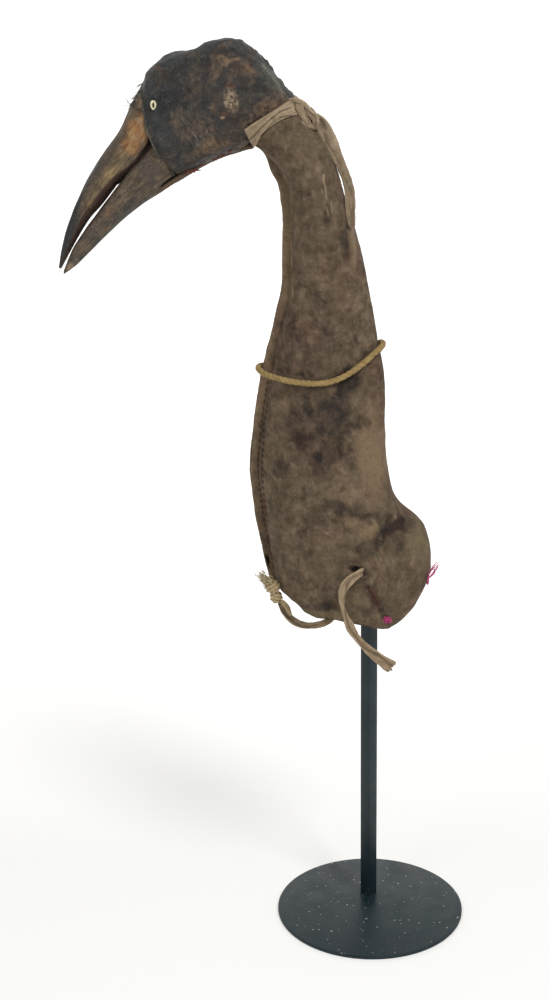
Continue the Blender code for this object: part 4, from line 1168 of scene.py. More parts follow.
def make_beak():
    horn = horn_material()
    for name, table, keel in (("upper", UPPER_BEAK, 1), ("lower", LOWER_BEAK, -1)):
        g, t, a, along, U, V = beak_grid(table, 230, 120, keel, 0.07)
        bite = (np.maximum(-keel * V, 0) / np.abs(V).max(1, keepdims=True)).ravel()
        n = grid_normals(g)
        rows, cols = g.shape[:2]
        p, nn = g.reshape(-1, 3), n.reshape(-1, 3)
        q, near = near_side(p)
        both = 0.5 + 0.5 * near
        raw = seen(q)
        px = raw + 1.4 * np.stack([noise(q, 0.008, 201), noise(q, 0.008, 202)], -1)
        tt, aa = np.repeat(t, cols), np.tile(a, rows)
        fib = np.stack([np.repeat(along, cols), U.ravel(), V.ravel()], -1)
        out = 0.30 * noise(fib, (0.050, 0.006, 0.006), 211) + 0.13 * noise(fib, (0.022, 0.0022, 0.0022), 212) + 0.06 * noise(fib, (0.012, 0.0010, 0.0010), 213) + 0.25 * noise(p, 0.016, 214)
        tip = 1 - ramp(0.86, 1.0, tt)
        out *= 0.25 + 0.75 * tip

        def many(*spots, soft=0.55):
            v = np.zeros(len(px))
            for x, y, rx, ry, turn, k in spots:
                v = np.maximum(v, k * patch(px, x, y, rx, ry, turn, soft))
            return v

        zero = np.zeros(len(p))
        if keel > 0:
            # inner band along the biting edge, with a fine step above it
            edge = ((156, 139), (147, 147), (136, 159), (126, 170), (119, 177), (110, 184), (99, 199), (88, 211), (78, 227), (70, 245), (65, 257), (61, 268))
            inner = ramp(0.84 - 0.16 * ramp(0.2, 0.4, tt), 0.92 - 0.13 * ramp(0.2, 0.4, tt), bite + 0.03 * noise(q, 0.006, 221))
            out -= 0.35 * inner * tip
            out += 0.30 * bell(bite - 0.78, 0.06) * tip
            ridge = bell(np.minimum(aa, 2 * math.pi - aa), 0.35)
            orange = many((137, 131, 11, 13, -25, 1.0), (131, 145, 9, 10, -30, 0.95), (143, 118, 6, 8, 0, 0.6), (120, 152, 6, 5, 0, 0.25), (90, 205, 4, 4, 0, 0.5), (82, 212, 4, 5, -30, 0.3)) * both
            spot = many((139, 120, 4.0, 4.0, 0, 0.55), (134, 137, 4.5, 4.0, 0, 0.55), (143, 130, 2.5, 3, 0, 0.4), (121, 145, 3, 2, 0, 0.35), soft=0.5) * both
            pale = many((112, 172, 7, 13, 38, 1.0), (106, 182, 5, 9, 38, 0.8), (122, 158, 6, 8, 30, 0.5), (94, 197, 5, 9, 35, 0.4), (142, 98, 5, 8, 0, 0.3), (127, 120, 3, 14, 28, 0.3)) * both
            # grey-blue along the ridge from half way down, black-blue at the tip
            culmen = to_line(raw, ((144.5, 77), (133, 99), (127.5, 113), (120, 129), (111, 143), (99, 161), (86, 184), (76, 206), (67, 231), (61, 249), (59, 268)))
            grey = np.clip(0.95 * bell(culmen[0], 7.5) * ramp(0.22, 0.42, culmen[1]) * (0.75 + 0.35 * noise(fib, (0.03, 0.004, 0.004), 223)), 0, 0.95)
            black = np.clip(ramp(0.62, 0.86, culmen[1] + 0.05 * noise(fib, (0.02, 0.003, 0.003), 224) + 0.10 * bell(culmen[0], 3.5)) + 0.55 * bell(culmen[0], 2.2) * ramp(0.3, 0.5, culmen[1]), 0, 1) * 0.92
            wisp = 0.5 * ramp(0.0, 0.2, tt) + many((140, 100, 10, 12, 0, 0.6))
            # painted shade along the gape between the two halves and on the part under the hide
            pit = 0.9 * bell(to_line(raw, edge[:5])[0] + 0.4, 1.1) * near + 0.8 * ramp(-0.02, -0.04, tt)
            brow = many((142, 88, 6, 8, 0, 0.55)) * both
            grey = np.maximum(grey, brow * 0.5)
            maps = dict(orange=orange, spot=spot, pale=pale, grey=grey, black=black, inner=inner, wisp=wisp, pit=pit)
        else:
            # hollow behind the cheek, above the strip of the jaw
            wedge = patch(raw + 0.5 * np.stack([noise(q, 0.004, 231), noise(q, 0.004, 232)], -1), 176, 181.5, 17.0, 4.6, -27, 0.18)
            wedge = wedge * ramp(-0.6, 1.2, np.interp(raw[:, 0], (158, 174, 188, 194), (188.2, 180.8, 173.4, 170.2)) - raw[:, 1] + 1.4)
            out -= 4.2 * wedge
            low = to_line(raw, ((76, 265), (94, 247), (111, 230), (129, 214), (147, 200), (165, 190), (174, 184)))
            rimmy = bell(low[0], 2.2)
            out += 0.3 * rimmy * tip
            orange = many((110, 213, 8, 5, -35, 0.3), (107, 229, 5, 4, 0, 0.35), (163, 175, 5, 4, 0, 0.2)) * both
            spot = many((70, 266, 3.4, 5.0, 35, 0.8), (78, 262, 4, 4, 0, 0.4), (158, 178, 4, 3, 0, 0.3), soft=0.5) * both
            pale = many((120, 196, 12, 8, -40, 0.35), (86, 246, 8, 5, -45, 0.5), (104, 232, 8, 5, -40, 0.4)) * both
            grey = np.maximum(0.5 * ramp(0.20, 0.36, tt), many((150, 172, 15, 14, -30, 0.55), (130, 196, 16, 9, -40, 0.45), (128, 206, 11, 4.5, -38, 0.85), (160, 182, 8, 5, -20, 0.5)) * both)
            # the dark line along the lower rim is painted shade; the other dark spots are the horn's own colour
            black = 0.55 * rimmy * (0.7 + 0.4 * noise(fib, (0.02, 0.003, 0.003), 234)) + 0.45 * many((128, 206, 9, 3.6, -38, 0.9), (106, 228, 10, 4, -45, 0.5), (94, 240, 9, 3, -48, 0.5), (140, 163, 10, 5, -40, 0.35)) * both
            inner = 0.85 * ramp(0.86, 0.95, bite + 0.03 * noise(q, 0.006, 233)) * (1 - 0.5 * ramp(0.5, 0.8, tt))
            wisp = 0.9 * ramp(0.02, 0.15, tt) * np.ones(len(p))
            # painted shade in the hollow behind the cheek and on the part under the hide
            pit = np.maximum(0.96 * wedge, 0.8 * ramp(-0.02, -0.04, tt))
            lightedge = bell(to_line(raw, ((159, 149), (166, 160), (175, 174)))[0] - 1.2, 1.2) * near
            spot = np.maximum(spot, 0.45 * lightedge)
            maps = dict(orange=orange, spot=spot, pale=pale, grey=grey, black=np.clip(black + 0.24 + 0.14 * noise(fib, (0.012, 0.005, 0.005), 235), 0, 1), inner=zero + inner, wisp=wisp, pit=pit)
        p = p + nn * (out * MM)[:, None]
        verts, faces = close_ends(p.reshape(g.shape))
        mesh = mesh_of(name + "_beak", verts, faces)
        outward(mesh)
        ends = np.zeros(2)
        paint(mesh, fibre=np.vstack([fib, fib[:1] * 0, fib[-1:]]), **{k: np.append(np.clip(v, 0, 1), ends + (0.9 if k == "black" and keel > 0 else 0)) for k, v in maps.items()})
        mesh.materials.append(horn)
        piece(link(name + "_beak_horn", mesh), "horn", name + "_beak")


def make_jaw():
    """The strip of the jaw that runs back under the cheek to the strap."""
    line = [spot_at(x, y, MID) for x, y in ((153, 192.5), (164, 186.0), (174, 179.4), (184, 173.0), (194, 166.8), (204, 161.2), (214, 156.4), (224, 152.4), (234, 149.0), (244, 146.0), (254, 144.5))]
    mesh, path, length = strip("jaw_strip", line, (16.0, 18.0, 20.0, 20.0, 20.0, 20.0, 19.0, 18.0, 16.0, 14.0, 12.0), (5.6, 5.4, 5.6, 6.2, 6.4, 6.2, 6.2, 6.4, 6.6, 6.6, 6.0), 0, rings=150, sides=36, wrinkle=0.35, seed=17, start=(0.0, 0.0, 1.0))
    mesh.materials.append(leather_material("jaw_hide", srgb(48, 36, 28), srgb(72, 55, 42), srgb(98, 78, 58), srgb(110, 92, 70), 0.6))
    piece(link("jaw_strip", mesh), "horn")
    # skin closing the corner of the mouth, near black as painted shade of the gap there
    line = [spot_at(x, y, MID) for x, y in ((160, 138), (152, 144), (143, 153.5), (134, 163), (127, 170.5), (121.5, 177.5), (116.8, 184.5))]
    mesh, _, _ = strip("gape_skin", line, (24.0, 24.0, 22.0, 20.0, 17.0, 13.0, 8.0), (8.0, 7.0, 6.0, 5.0, 4.2, 3.2, 1.6), 0, rings=70, sides=24, wrinkle=0.3, seed=19, start=(0.0, 0.0, 1.0))
    mesh.materials.append(leather_material("gape_hide", srgb(20, 15, 14), srgb(30, 23, 20), srgb(44, 34, 29), srgb(40, 31, 27), 0.7))
    piece(link("gape_skin", mesh), "head_hide")


# ------------------------------------------------------------------ eyes
def make_eyes():
    cream = thread_material("bead_cream", srgb(206, 196, 150), srgb(236, 230, 196), 0.003, 0.3)
    black = thread_material("bead_hole", srgb(14, 12, 11), srgb(34, 28, 24), 0.002, 0.35)
    for side, node in ((-1, "eye_near"), (1, "eye_far")):
        lo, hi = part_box(node)
        c = (np.array(lo) + np.array(hi)) / 2
        rows, cols = 44, 20
        th = np.linspace(0, 2 * math.pi, rows, endpoint=False)
        ph = np.linspace(0, 2 * math.pi, cols, endpoint=False)
        half_w, half_h, tube = 1.55 * MM, 2.9 * MM, 0.85 * MM
        narrow = 1 - 0.28 * np.clip(-np.sin(th), 0, 1)
        cx, cz = half_w * np.cos(th) * narrow, half_h * np.sin(th)
        r = tube * (1 + 0.12 * np.sin(3 * th + 1)) * (1 - 0.25 * np.clip(-np.sin(th), 0, 1))
        dx, dz = np.cos(th), np.sin(th)
        g = np.zeros((rows, cols, 3))
        g[..., 0] = cx[:, None] + (r[:, None] * np.cos(ph)[None, :]) * dx[:, None]
        g[..., 2] = cz[:, None] + (r[:, None] * np.cos(ph)[None, :]) * dz[:, None]
        g[..., 1] = side * (0.4 * MM + r[:, None] * np.sin(ph)[None, :])
        ang = math.radians(18) * -side
        rot = np.array([[math.cos(ang), -math.sin(ang), 0], [math.sin(ang), math.cos(ang), 0], [0, 0, 1]])
        ring = mesh_of("bead", (g.reshape(-1, 3) @ rot.T) + c, grid_faces(rows, cols, close_rows=True))
        outward(ring)
        ring.materials.append(cream)
        o = piece(link("bead_" + node, ring), "bead", node)
        bm = bmesh.new()
        bmesh.ops.create_uvsphere(bm, u_segments=24, v_segments=14, radius=1.0)
        for v in bm.verts:
            q = np.array(v.co) * (1.15 * MM, 0.9 * MM, 2.1 * MM)
            v.co = q @ rot.T + c + np.array([0, side * 0.1 * MM, 0])
        pupil = bpy.data.meshes.new("pupil")
        bm.to_mesh(pupil)
        bm.free()
        pupil.shade_smooth()
        pupil.materials.append(black)
        piece(link("bead_hole_" + node, pupil), "bead")


# ------------------------------------------------------------------ strap and its knot
def make_strap():
    cols = 260
    a = np.linspace(0, 2 * math.pi, cols, endpoint=False)
    low = strap_low(a)
    profile = (  # share across the band, height above the neck in mm
        (0.00, 0.5), (-0.02, 1.2), (0.00, 2.0), (0.05, 2.4), (0.15, 2.5), (0.27, 2.45), (0.36, 2.35), (0.42, 2.15), (0.46, 2.30), (0.50, 2.70),
        (0.60, 2.85), (0.72, 2.8), (0.84, 2.7), (0.93, 2.5), (0.99, 2.1), (1.02, 1.4), (1.00, 0.6), (0.8, 0.35), (0.5, 0.3), (0.2, 0.35),
    )
    rings = []
    for f, h in profile:
        ripple = 0.030 * np.sin(3 * a + 1.0) + 0.02 * np.sin(7 * a)
        s = low + (STRAP_TO - low) * (f + (ripple if 0.3 < f < 0.6 else 0) + (0.03 * np.sin(5 * a + 2) if f > 0.9 or f < 0.03 else 0))
        base = neck_point(s, a, 0.0)
        lifted = neck_point(s, a, 1.0 * MM)
        dirn = lifted - base
        dirn /= np.linalg.norm(dirn, axis=1)[:, None]
        throat = ramp(2.0, 2.75, math.pi - np.abs(a - math.pi))
        hh = h + (throat * (0.9 + 2.6 * min(max(f, 0), 1)) if h > 1 else 0) + (0.35 * noise(base, 0.012, 301) + 0.20 * noise(base, 0.004, 302) if h > 1 else 0)
        rings.append(base + dirn * (hh * MM)[:, None] if np.ndim(hh) else base + dirn * hh * MM)
    g = np.stack(rings, 0)  # profile points by angle
    mesh = mesh_of("strap_band", g.reshape(-1, 3), grid_faces(len(profile), cols, close_rows=True))
    outward(mesh)
    fib = np.stack(np.broadcast_arrays(a[None, :] * 0.022, np.array([x[0] for x in profile])[:, None] * 0.016, 0 * a[None, :]), -1)
    edge = np.array([1.0 if (f < 0.06 or f > 0.95 or 0.44 < f < 0.56) else 0.1 for f, h in profile])
    paint(mesh, fibre=fib.reshape(-1, 3), edge=np.repeat(edge, cols))
    mesh.materials.append(STRAP_LEATHER)
    piece(link("strap_band", mesh), "strap_leather", "neck_strap")

    # the strap's folded end on the seen side, lying on the hide between its two edges
    nu, nv = 90, 30
    edges = []
    for side in (((244.0, 129.6), (251, 124.6), (262, 117.6), (272, 111.4), (280, 106.0), (289, 100.5)), ((253.2, 148.8), (257.0, 144), (262, 134.5), (271, 124.5), (281, 117.0), (293, 114.5))):
        flat = np.array(side, float)
        share = np.concatenate([[0], np.cumsum(np.linalg.norm(np.diff(flat, axis=0), axis=1))])
        edges.append(np.stack([np.interp(np.linspace(0, share[-1], nu), share, flat[:, k]) for k in (0, 1)], -1))
    v = np.linspace(0, 1, nv)
    spots = edges[0][:, None, :] * (1 - v)[None, :, None] + edges[1][:, None, :] * v[None, :, None]
    under = np.vstack([x.reshape(-1, 3) for x in (HEAD_POINTS, NECK_POINTS, g)])
    at = seen(under)
    keep = (under[:, 1] < MID) & (at[:, 0] > 238) & (at[:, 0] < 300) & (at[:, 1] > 94) & (at[:, 1] < 155)
    under, at = under[keep], at[keep]
    flat = spots.reshape(-1, 2)
    depth = np.empty(len(flat))
    for k, spot in enumerate(flat):
        r = np.linalg.norm(at - spot, axis=1)
        close = r < 2.2
        depth[k] = under[close, 1].min() if close.any() else under[np.argmin(r), 1]
    depth = depth.reshape(nu, nv)
    for _ in range(14):
        pad = np.pad(depth, 1, mode="edge")
        depth = (pad[:-2, 1:-1] + pad[2:, 1:-1] + pad[1:-1, :-2] + pad[1:-1, 2:] + 2 * depth) / 6
    round_v = np.clip(1 - np.abs(2 * v - 1) ** 7, 0, 1)[None, :]
    round_u = ramp(0.0, 0.035, np.linspace(0, 1, nu))[:, None] * (1 - ramp(0.90, 1.0, np.linspace(0, 1, nu)))[:, None]
    low_pts = np.array([[spot_at(*spots[i, j], depth[i, j] - 0.1 * MM) for j in range(nv)] for i in range(nu)])
    rough = 0.45 * noise(low_pts, 0.011, 303) + 0.22 * noise(low_pts, 0.0045, 304)
    line = bell(v[None, :] - 0.55 - 0.05 * np.sin(np.linspace(0, 5, nu))[:, None], 0.055)
    high = 0.5 + (2.1 + rough - 0.8 * line - 0.6 * (v[None, :] > 0.58)) * round_v * round_u
    top_pts = np.array([[spot_at(*spots[i, j], depth[i, j] - high[i, j] * MM) for j in range(nv)] for i in range(nu)])
    both_faces = np.concatenate([top_pts, low_pts[:, ::-1]], 1)
    verts = np.vstack([both_faces.reshape(-1, 3), both_faces[0].mean(0), both_faces[-1].mean(0)])
    ring = 2 * nv
    faces = grid_faces(nu, ring)
    faces += [[nu * ring, (j + 1) % ring, j] for j in range(ring)]
    faces += [[nu * ring + 1, (nu - 1) * ring + j, (nu - 1) * ring + (j + 1) % ring] for j in range(ring)]
    mesh = mesh_of("strap_fold", verts, faces)
    outward(mesh)
    u = np.linspace(0, 0.05, nu)[:, None] + 0 * v[None, :]
    fibre = np.stack([u, 0.014 * v[None, :] + 0 * u, 0 * u], -1)
    shade = np.clip(0.75 * line + 0.25 * (1 - round_v) + 0.5 * (rough < -0.35), 0, 1) + 0 * u
    bright = np.maximum(1 - round_v, 0.5 * bell(v[None, :] - 0.62, 0.05)) + 0 * u
    paint(mesh, fibre=np.vstack([np.concatenate([fibre, fibre[:, ::-1]], 1).reshape(-1, 3), fibre[0, 0], fibre[-1, 0]]), edge=np.append(np.concatenate([bright, bright], 1).ravel(), [0, 0]), shade=np.append(np.concatenate([shade, shade], 1).ravel(), [0.3, 0.3]))
    mesh.materials.append(STRAP_LEATHER)
    piece(link("strap_fold", mesh), "strap_leather")

    knot = (
        # over the top into the tail
        ("knot_over", ((283, 108, 4), (290, 104, 1), (298, 103.5, -1), (305, 107, -1), (311, 114, 0), (318, 121, 3)), (8.0, 8.5, 8.0, 6.5, 6.5, 6.5), (3.4, 4.0, 4.4, 4.2, 4.2, 4.0), (20, 10, 0, -10, -10, 0), 21),
        # under, round the hole
        ("knot_under", ((286, 112, 3), (294, 115, 0), (300, 119.5, -2), (306, 124, -1), (312, 126, 1), (318, 125, 4)), (6.6, 6.0, 5.4, 5.0, 4.6, 4.6), (3.2, 3.2, 3.2, 3.4, 3.2, 3.0), (-10, -5, 0, 10, 10, 0), 22),
        # across both
        ("knot_across", ((297, 101, 3), (299, 106, -2.5), (301, 112, -3.2), (305, 118, -2.8), (308, 123.5, -1), (310, 128, 4)), (4.6, 5.6, 5.0, 4.8, 5.0, 4.4), (2.8, 3.0, 3.0, 3.0, 3.0, 2.8), (0, 0, 12, 20, 10, 0), 23),
        ("knot_back", ((309, 109, 6), (313, 114, 1), (315.5, 119, -1), (315.5, 124, 0), (312, 129, 5)), (4.6, 5.0, 5.2, 5.0, 4.6), (2.8, 3.2, 3.4, 3.2, 2.8), 0, 24),
    )
    for name, pts, w, h, turn, seed in knot:
        line = [spot_at(x, y, MID - 12 * MM + d * MM) for x, y, d in pts]
        mesh, _, _ = strip(name, line, w, h, turn, rings=70, sides=28, curl=0.05, wrinkle=0.45, seed=seed, shade=0.2, groove=0.35)
        mesh.materials.append(STRAP_LEATHER)
        piece(link(name, mesh), "strap_leather")


# ------------------------------------------------------------------ twisted cord round the neck
def make_neck_cord():
    n, sides = 640, 18
    a = np.linspace(0, 2 * math.pi, n, endpoint=False)
    p = cord_ring(a, 0.0008)
    t, u, v = frames(p, (1.0, 0.0, 0.0), closed=True)
    d = np.concatenate([[0], np.cumsum(np.linalg.norm(np.diff(p, axis=0), axis=1))])
    th = np.linspace(0, 2 * math.pi, sides, endpoint=False)
    total = d[-1] + np.linalg.norm(p[0] - p[-1])
    turns = round(total / 0.0095) * 2
    twist = d / total * 2 * math.pi * turns / 2
    lay = th[None, :] - twist[:, None]
    r = CORD_D / 2 * (0.94 + 0.13 * np.abs(np.sin(lay)) + 0.08 * noise(p, 0.006, 401)[:, None])
    r = r + 0.05 * MM * np.sin(6 * lay + 40 * twist[:, None])
    g = p[:, None] + r[..., None] * (np.cos(th)[None, :, None] * u[:, None] + np.sin(th)[None, :, None] * v[:, None])
    mesh = mesh_of("neck_cord", g.reshape(-1, 3), grid_faces(n, sides, close_rows=True))
    outward(mesh)
    # painted shade in the grooves between the twists
    deep = 1 - ramp(0.0, 0.45, np.abs(np.sin(lay)))
    paint(mesh, fibre=np.stack(np.broadcast_arrays(d[:, None] * 3, lay * 0.0012, 0 * lay), -1).reshape(-1, 3), deep=deep.ravel())
    k = Mat("ochre_cord", 0.8, Specular_IOR_Level=0.25)
    f = k.attr("fibre", True)
    base = k.ramp(k.noise(0.0011, 5, 0.65, 0, k.scaled(f, (0.3, 1, 1))), (0.30, srgb(116, 93, 56)), (0.50, srgb(154, 128, 82)), (0.72, srgb(188, 162, 110)))
    base = k.mix(0.4, base, k.ramp(k.noise(0.008, 5, 0.65), (0.35, srgb(110, 91, 58)), (0.65, srgb(174, 148, 96))))
    # painted shade in the twist's grooves
    base = k.mix(k.math("MULTIPLY", k.attr("deep"), 0.42), base, srgb(92, 70, 42))
    mesh.materials.append(k.done(base, None, k.bump(k.noise(0.0006, 3, 0.6, 0, k.scaled(f, (0.3, 1, 1))), 0.0003)))
    piece(link("neck_cord_twisted", mesh), "cord", "neck_cord")
    # a few loose fibres
    rng = np.random.default_rng(4)
    hairs = []
    for _ in range(26):
        i = int(rng.integers(n))
        out = (p[i] - p.mean(0)) * (1, 1, 0)
        out /= np.linalg.norm(out)
        b = p[i] + out * CORD_D * 0.45
        w = rng.normal(size=3) * 0.5 + out * 0.5
        hairs.append([b + w * x * 2.6 * MM + np.array([0, 0, -1]) * x * x * 0.8 * MM for x in np.linspace(0, 1, 5)])
    mesh = thread("cord_fibres", hairs, (0.10 * MM, 0.05 * MM), 4)
    mesh.materials.append(thread_material("ochre_fibre", srgb(150, 122, 80), srgb(190, 164, 116)))
    piece(link("cord_fibres", mesh), "cord")


# ------------------------------------------------------------------ knot at the front corner
def make_front_knot():
    cream = leather_material("knot_fibre", srgb(118, 98, 66), srgb(150, 130, 96), srgb(184, 166, 130), srgb(196, 180, 146))
    for i, (x, y, z, rx, ry, rz, tilt) in enumerate(((-80.0, 1.4, 300.6, 6.0, 5.2, 5.2, 24), (-77.4, 1.2, 292.0, 5.0, 4.8, 4.8, -20))):
        rows, cols = 60, 64
        ph = np.linspace(0.02, math.pi - 0.02, rows)
        th = np.linspace(0, 2 * math.pi, cols, endpoint=False)
        d = np.stack([np.sin(ph)[:, None] * np.cos(th)[None, :], np.sin(ph)[:, None] * np.sin(th)[None, :], np.cos(ph)[:, None] + 0 * th[None, :]], -1)
        wraps = np.sin(6.0 * ph[:, None] * 1.6 + 1.0 * th[None, :] + i)
        r = 1 + 0.10 * wraps + 0.05 * noise(d, 0.35, 501 + i)
        c, s = math.cos(math.radians(tilt)), math.sin(math.radians(tilt))
        g = d * r[..., None] * np.array([rx, ry, rz]) * MM
        g = np.stack([g[..., 0] * c - g[..., 2] * s, g[..., 1], g[..., 0] * s + g[..., 2] * c], -1) + np.array([x, y, z]) * MM
        verts, faces = close_ends(g)
        mesh = mesh_of("front_knot_lobe", verts, faces)
        outward(mesh)
        fib = np.stack([ph[:, None] * 0.002 + 0 * th[None, :], th[None, :] * 0.004 + 0 * ph[:, None], 0 * r], -1).reshape(-1, 3)
        paint(mesh, fibre=np.vstack([fib, fib[:2]]), edge=np.append(ramp(0.2, 1, wraps).ravel(), [0, 0]))
        mesh.materials.append(cream)
        piece(link("front_knot_%d" % (i + 1), mesh), "strap_leather", *(("front_tie_knot",) if not i else ()))
    rng = np.random.default_rng(8)
    strands = []
    base, tip = np.array([-82.4, 1.4, 303.6]) * MM, np.array([-91.6, 3.0, 312.8]) * MM
    for _ in range(150):
        b = base + rng.normal(size=3) * (1.9, 1.4, 1.9) * MM
        e = tip + rng.normal(size=3) * (2.0, 1.8, 2.6) * MM
        k = rng.uniform(0.45, 1.0)
        e = b + (e - b) * k
        bend = rng.normal(size=3) * 0.9 * MM
        strands.append([b + (e - b) * x + bend * math.sin(math.pi * x) for x in np.linspace(0, 1, 6)])
    mesh = thread("front_fray", strands, (0.34 * MM, 0.10 * MM), 5)
    mesh.materials.append(thread_material("fray", srgb(150, 132, 98), srgb(206, 192, 158), 0.002))
    piece(link("front_fray", mesh), "strap_leather")
    # short second end beside the strand
    line = np.array([(-73.6, -1.5, 290.0), (-70.6, -2.6, 287.0), (-67.6, -3.2, 282.6), (-65.8, -3.2, 277.6)]) * MM
    mesh, _, _ = strip("front_short_end", line, (3.4, 4.2, 4.0, 2.6), (2.0, 1.8, 1.8, 1.4), (0, 20, 30, 40), rings=44, sides=16, wrinkle=0.25, seed=31, frayed=1.2)
    mesh.materials.append(cream)
    piece(link("front_short_end", mesh), "strap_leather")


# ------------------------------------------------------------------ small trim
def on(surface, x, y, lift=0.0):
    """The point of the seen side of a grid of points that lies at x, y in the picture, raised by lift mm."""
    p = surface.reshape(-1, 3)
    p = p[p[:, 1] < MID]
    r = np.linalg.norm(seen(p) - (x, y), axis=1)
    close = np.argsort(r)[:4]
    w = 1 / (r[close] + 0.05)
    q = (p[close] * w[:, None]).sum(0) / w.sum()
    return q - FWD * lift * MM


def make_trim(neck, angles, head):
    rng = np.random.default_rng(12)
    # running stitches of the front seam, on both sides of the fin
    lines = []
    cols = BODY_COLS + 1
    for col, side in ((cols, 1), (2 * (BODY_COLS + FIN_COLS) - 1 - cols, -1)):
        line = neck[:, col % neck.shape[1]]
        d = np.concatenate([[0], np.cumsum(np.linalg.norm(np.diff(line, axis=0), axis=1))])
        at = 8 * MM
        while at < d[-1] * 0.47:
            k = [np.array([np.interp(at + x * MM, d, line[:, i]) for i in range(3)]) for x in (0, 0.7, 1.6, 2.5, 3.2)]
            y = -side
            lift = (-0.35, 0.30, 0.48, 0.30, -0.35)
            lines.append([q + np.array([0, y * h * MM, 0]) for q, h in zip(k, lift)])
            at += (5.2 + rng.uniform(-0.7, 0.7)) * MM
    mesh = thread("seam_stitches", lines, 0.36 * MM, 6)
    mesh.materials.append(thread_material("seam_thread", srgb(44, 32, 26), srgb(84, 62, 46)))
    piece(link("seam_stitches", mesh), "neck_hide")

    # red thread along the lower edge of the cheek
    lines = []
    for x, y in ((186, 172.2), (190, 171.5), (193, 171), (196, 169.6), (205, 164.4), (214, 160), (219, 157.5), (224, 154.4), (229, 151.2), (232, 149.4), (236, 147)):
        b = spot_at(x, y, MID - 13 * MM)
        for _ in range(4 if x in (193, 196, 229, 232) else 2):
            w = rng.normal(size=3) * (1.5, 0.5, 1.2) * MM
            w2 = rng.normal(size=3) * (1.6, 0.5, 1.4) * MM
            lines.append([b, b + w * 0.6 + (0, -0.6 * MM, 0), b + w, b + (w + w2) * 0.6])
    mesh = thread("jaw_thread", lines, (0.42 * MM, 0.25 * MM), 5)
    mesh.materials.append(thread_material("red_thread", srgb(78, 18, 18), srgb(132, 34, 32)))
    piece(link("jaw_thread", mesh), "cord")

    # bristles at the brow
    hairs = []
    for k in range(34):
        t = rng.uniform()
        x, y = 143 - 9 * t + rng.normal() * 0.8, 84 + 20 * t + rng.normal() * 1.0
        depth = MID + rng.uniform(-14, 6) * MM
        b = spot_at(x, y, depth)
        w = np.array([-1.0, rng.uniform(-0.5, 0.2), rng.uniform(-0.9, 0.25)])
        ln = rng.uniform(2.5, 6.5) * MM
        hairs.append([b + w * ln * f + np.array([0, 0, -1]) * f * f * ln * 0.4 for f in np.linspace(0, 1, 6)])
    for x0, y0, x1, y1, x2, y2 in ((131, 105, 134, 110.5, 146, 111.5), (125.5, 98.5, 130, 104.5, 137, 108), (124.5, 105, 131, 106, 136, 103), (127, 101.5, 131, 107, 141, 110)):
        p0, p1, p2 = spot_at(x0, y0, MID - 13 * MM), spot_at(x1, y1, MID - 18.5 * MM), spot_at(x2, y2, MID - 21.0 * MM)
        hairs.append([(1 - f) ** 2 * p0 + 2 * f * (1 - f) * p1 + f * f * p2 for f in np.linspace(0, 1, 12)])
    mesh = thread("brow_bristles", hairs, (0.24 * MM, 0.09 * MM), 5)
    mesh.materials.append(thread_material("bristle", srgb(22, 18, 17), srgb(54, 44, 38)))
    piece(link("brow_bristles", mesh), "head_hide")

    # pink thread tufts on the lobe
    pink = thread_material("pink_thread", srgb(150, 34, 84), srgb(214, 96, 148), 0.0014)
    lines = []
    c = on(neck, 386, 619.5, 0.6)
    for _ in range(150):
        w = rng.normal(size=3)
        w = w / np.linalg.norm(w) * (4.9, 2.4, 3.3) * MM * rng.uniform(0.80, 1.02)
        w[1] = -abs(w[1])
        bend = rng.normal(size=3) * 0.5 * MM
        lines.append([c + w * 0.25, c + w * 0.65 + bend, c + w])
    lo = on(neck, 427.5, 579, 0.4)
    for dx, reach, wide in ((0.0, 1.0, 1.5), (0.3, 0.86, 1.1), (-0.2, 0.75, 0.8), (0.5, 0.62, 1.4)):
        top = lo + np.array([8.0 * reach + dx, -2.0, 15.0 * reach]) * MM
        side = np.array([0.8, 0.1, -0.5]) * wide * MM
        loop = [lo, lo + (top - lo) * 0.35 + side, lo + (top - lo) * 0.75 + side * 1.5, top, lo + (top - lo) * 0.75 - side * 1.3, lo + (top - lo) * 0.35 - side, lo + np.array([0, 0.2, -0.2]) * MM]
        lines.append(resample(loop, 22)[0])
    for _ in range(12):
        w = rng.normal(size=3) * (0.8, 0.6, 1.4) * MM
        lines.append([lo + w, lo + w * 0.3 + (0.6 * MM, -0.6 * MM, -1.2 * MM), lo + (0, 0, -3.6 * MM) + w * 0.5])
    mesh = thread("pink_tufts", lines, 0.36 * MM, 5)
    mesh.materials.append(pink)
    piece(link("pink_tufts", mesh), "cord")


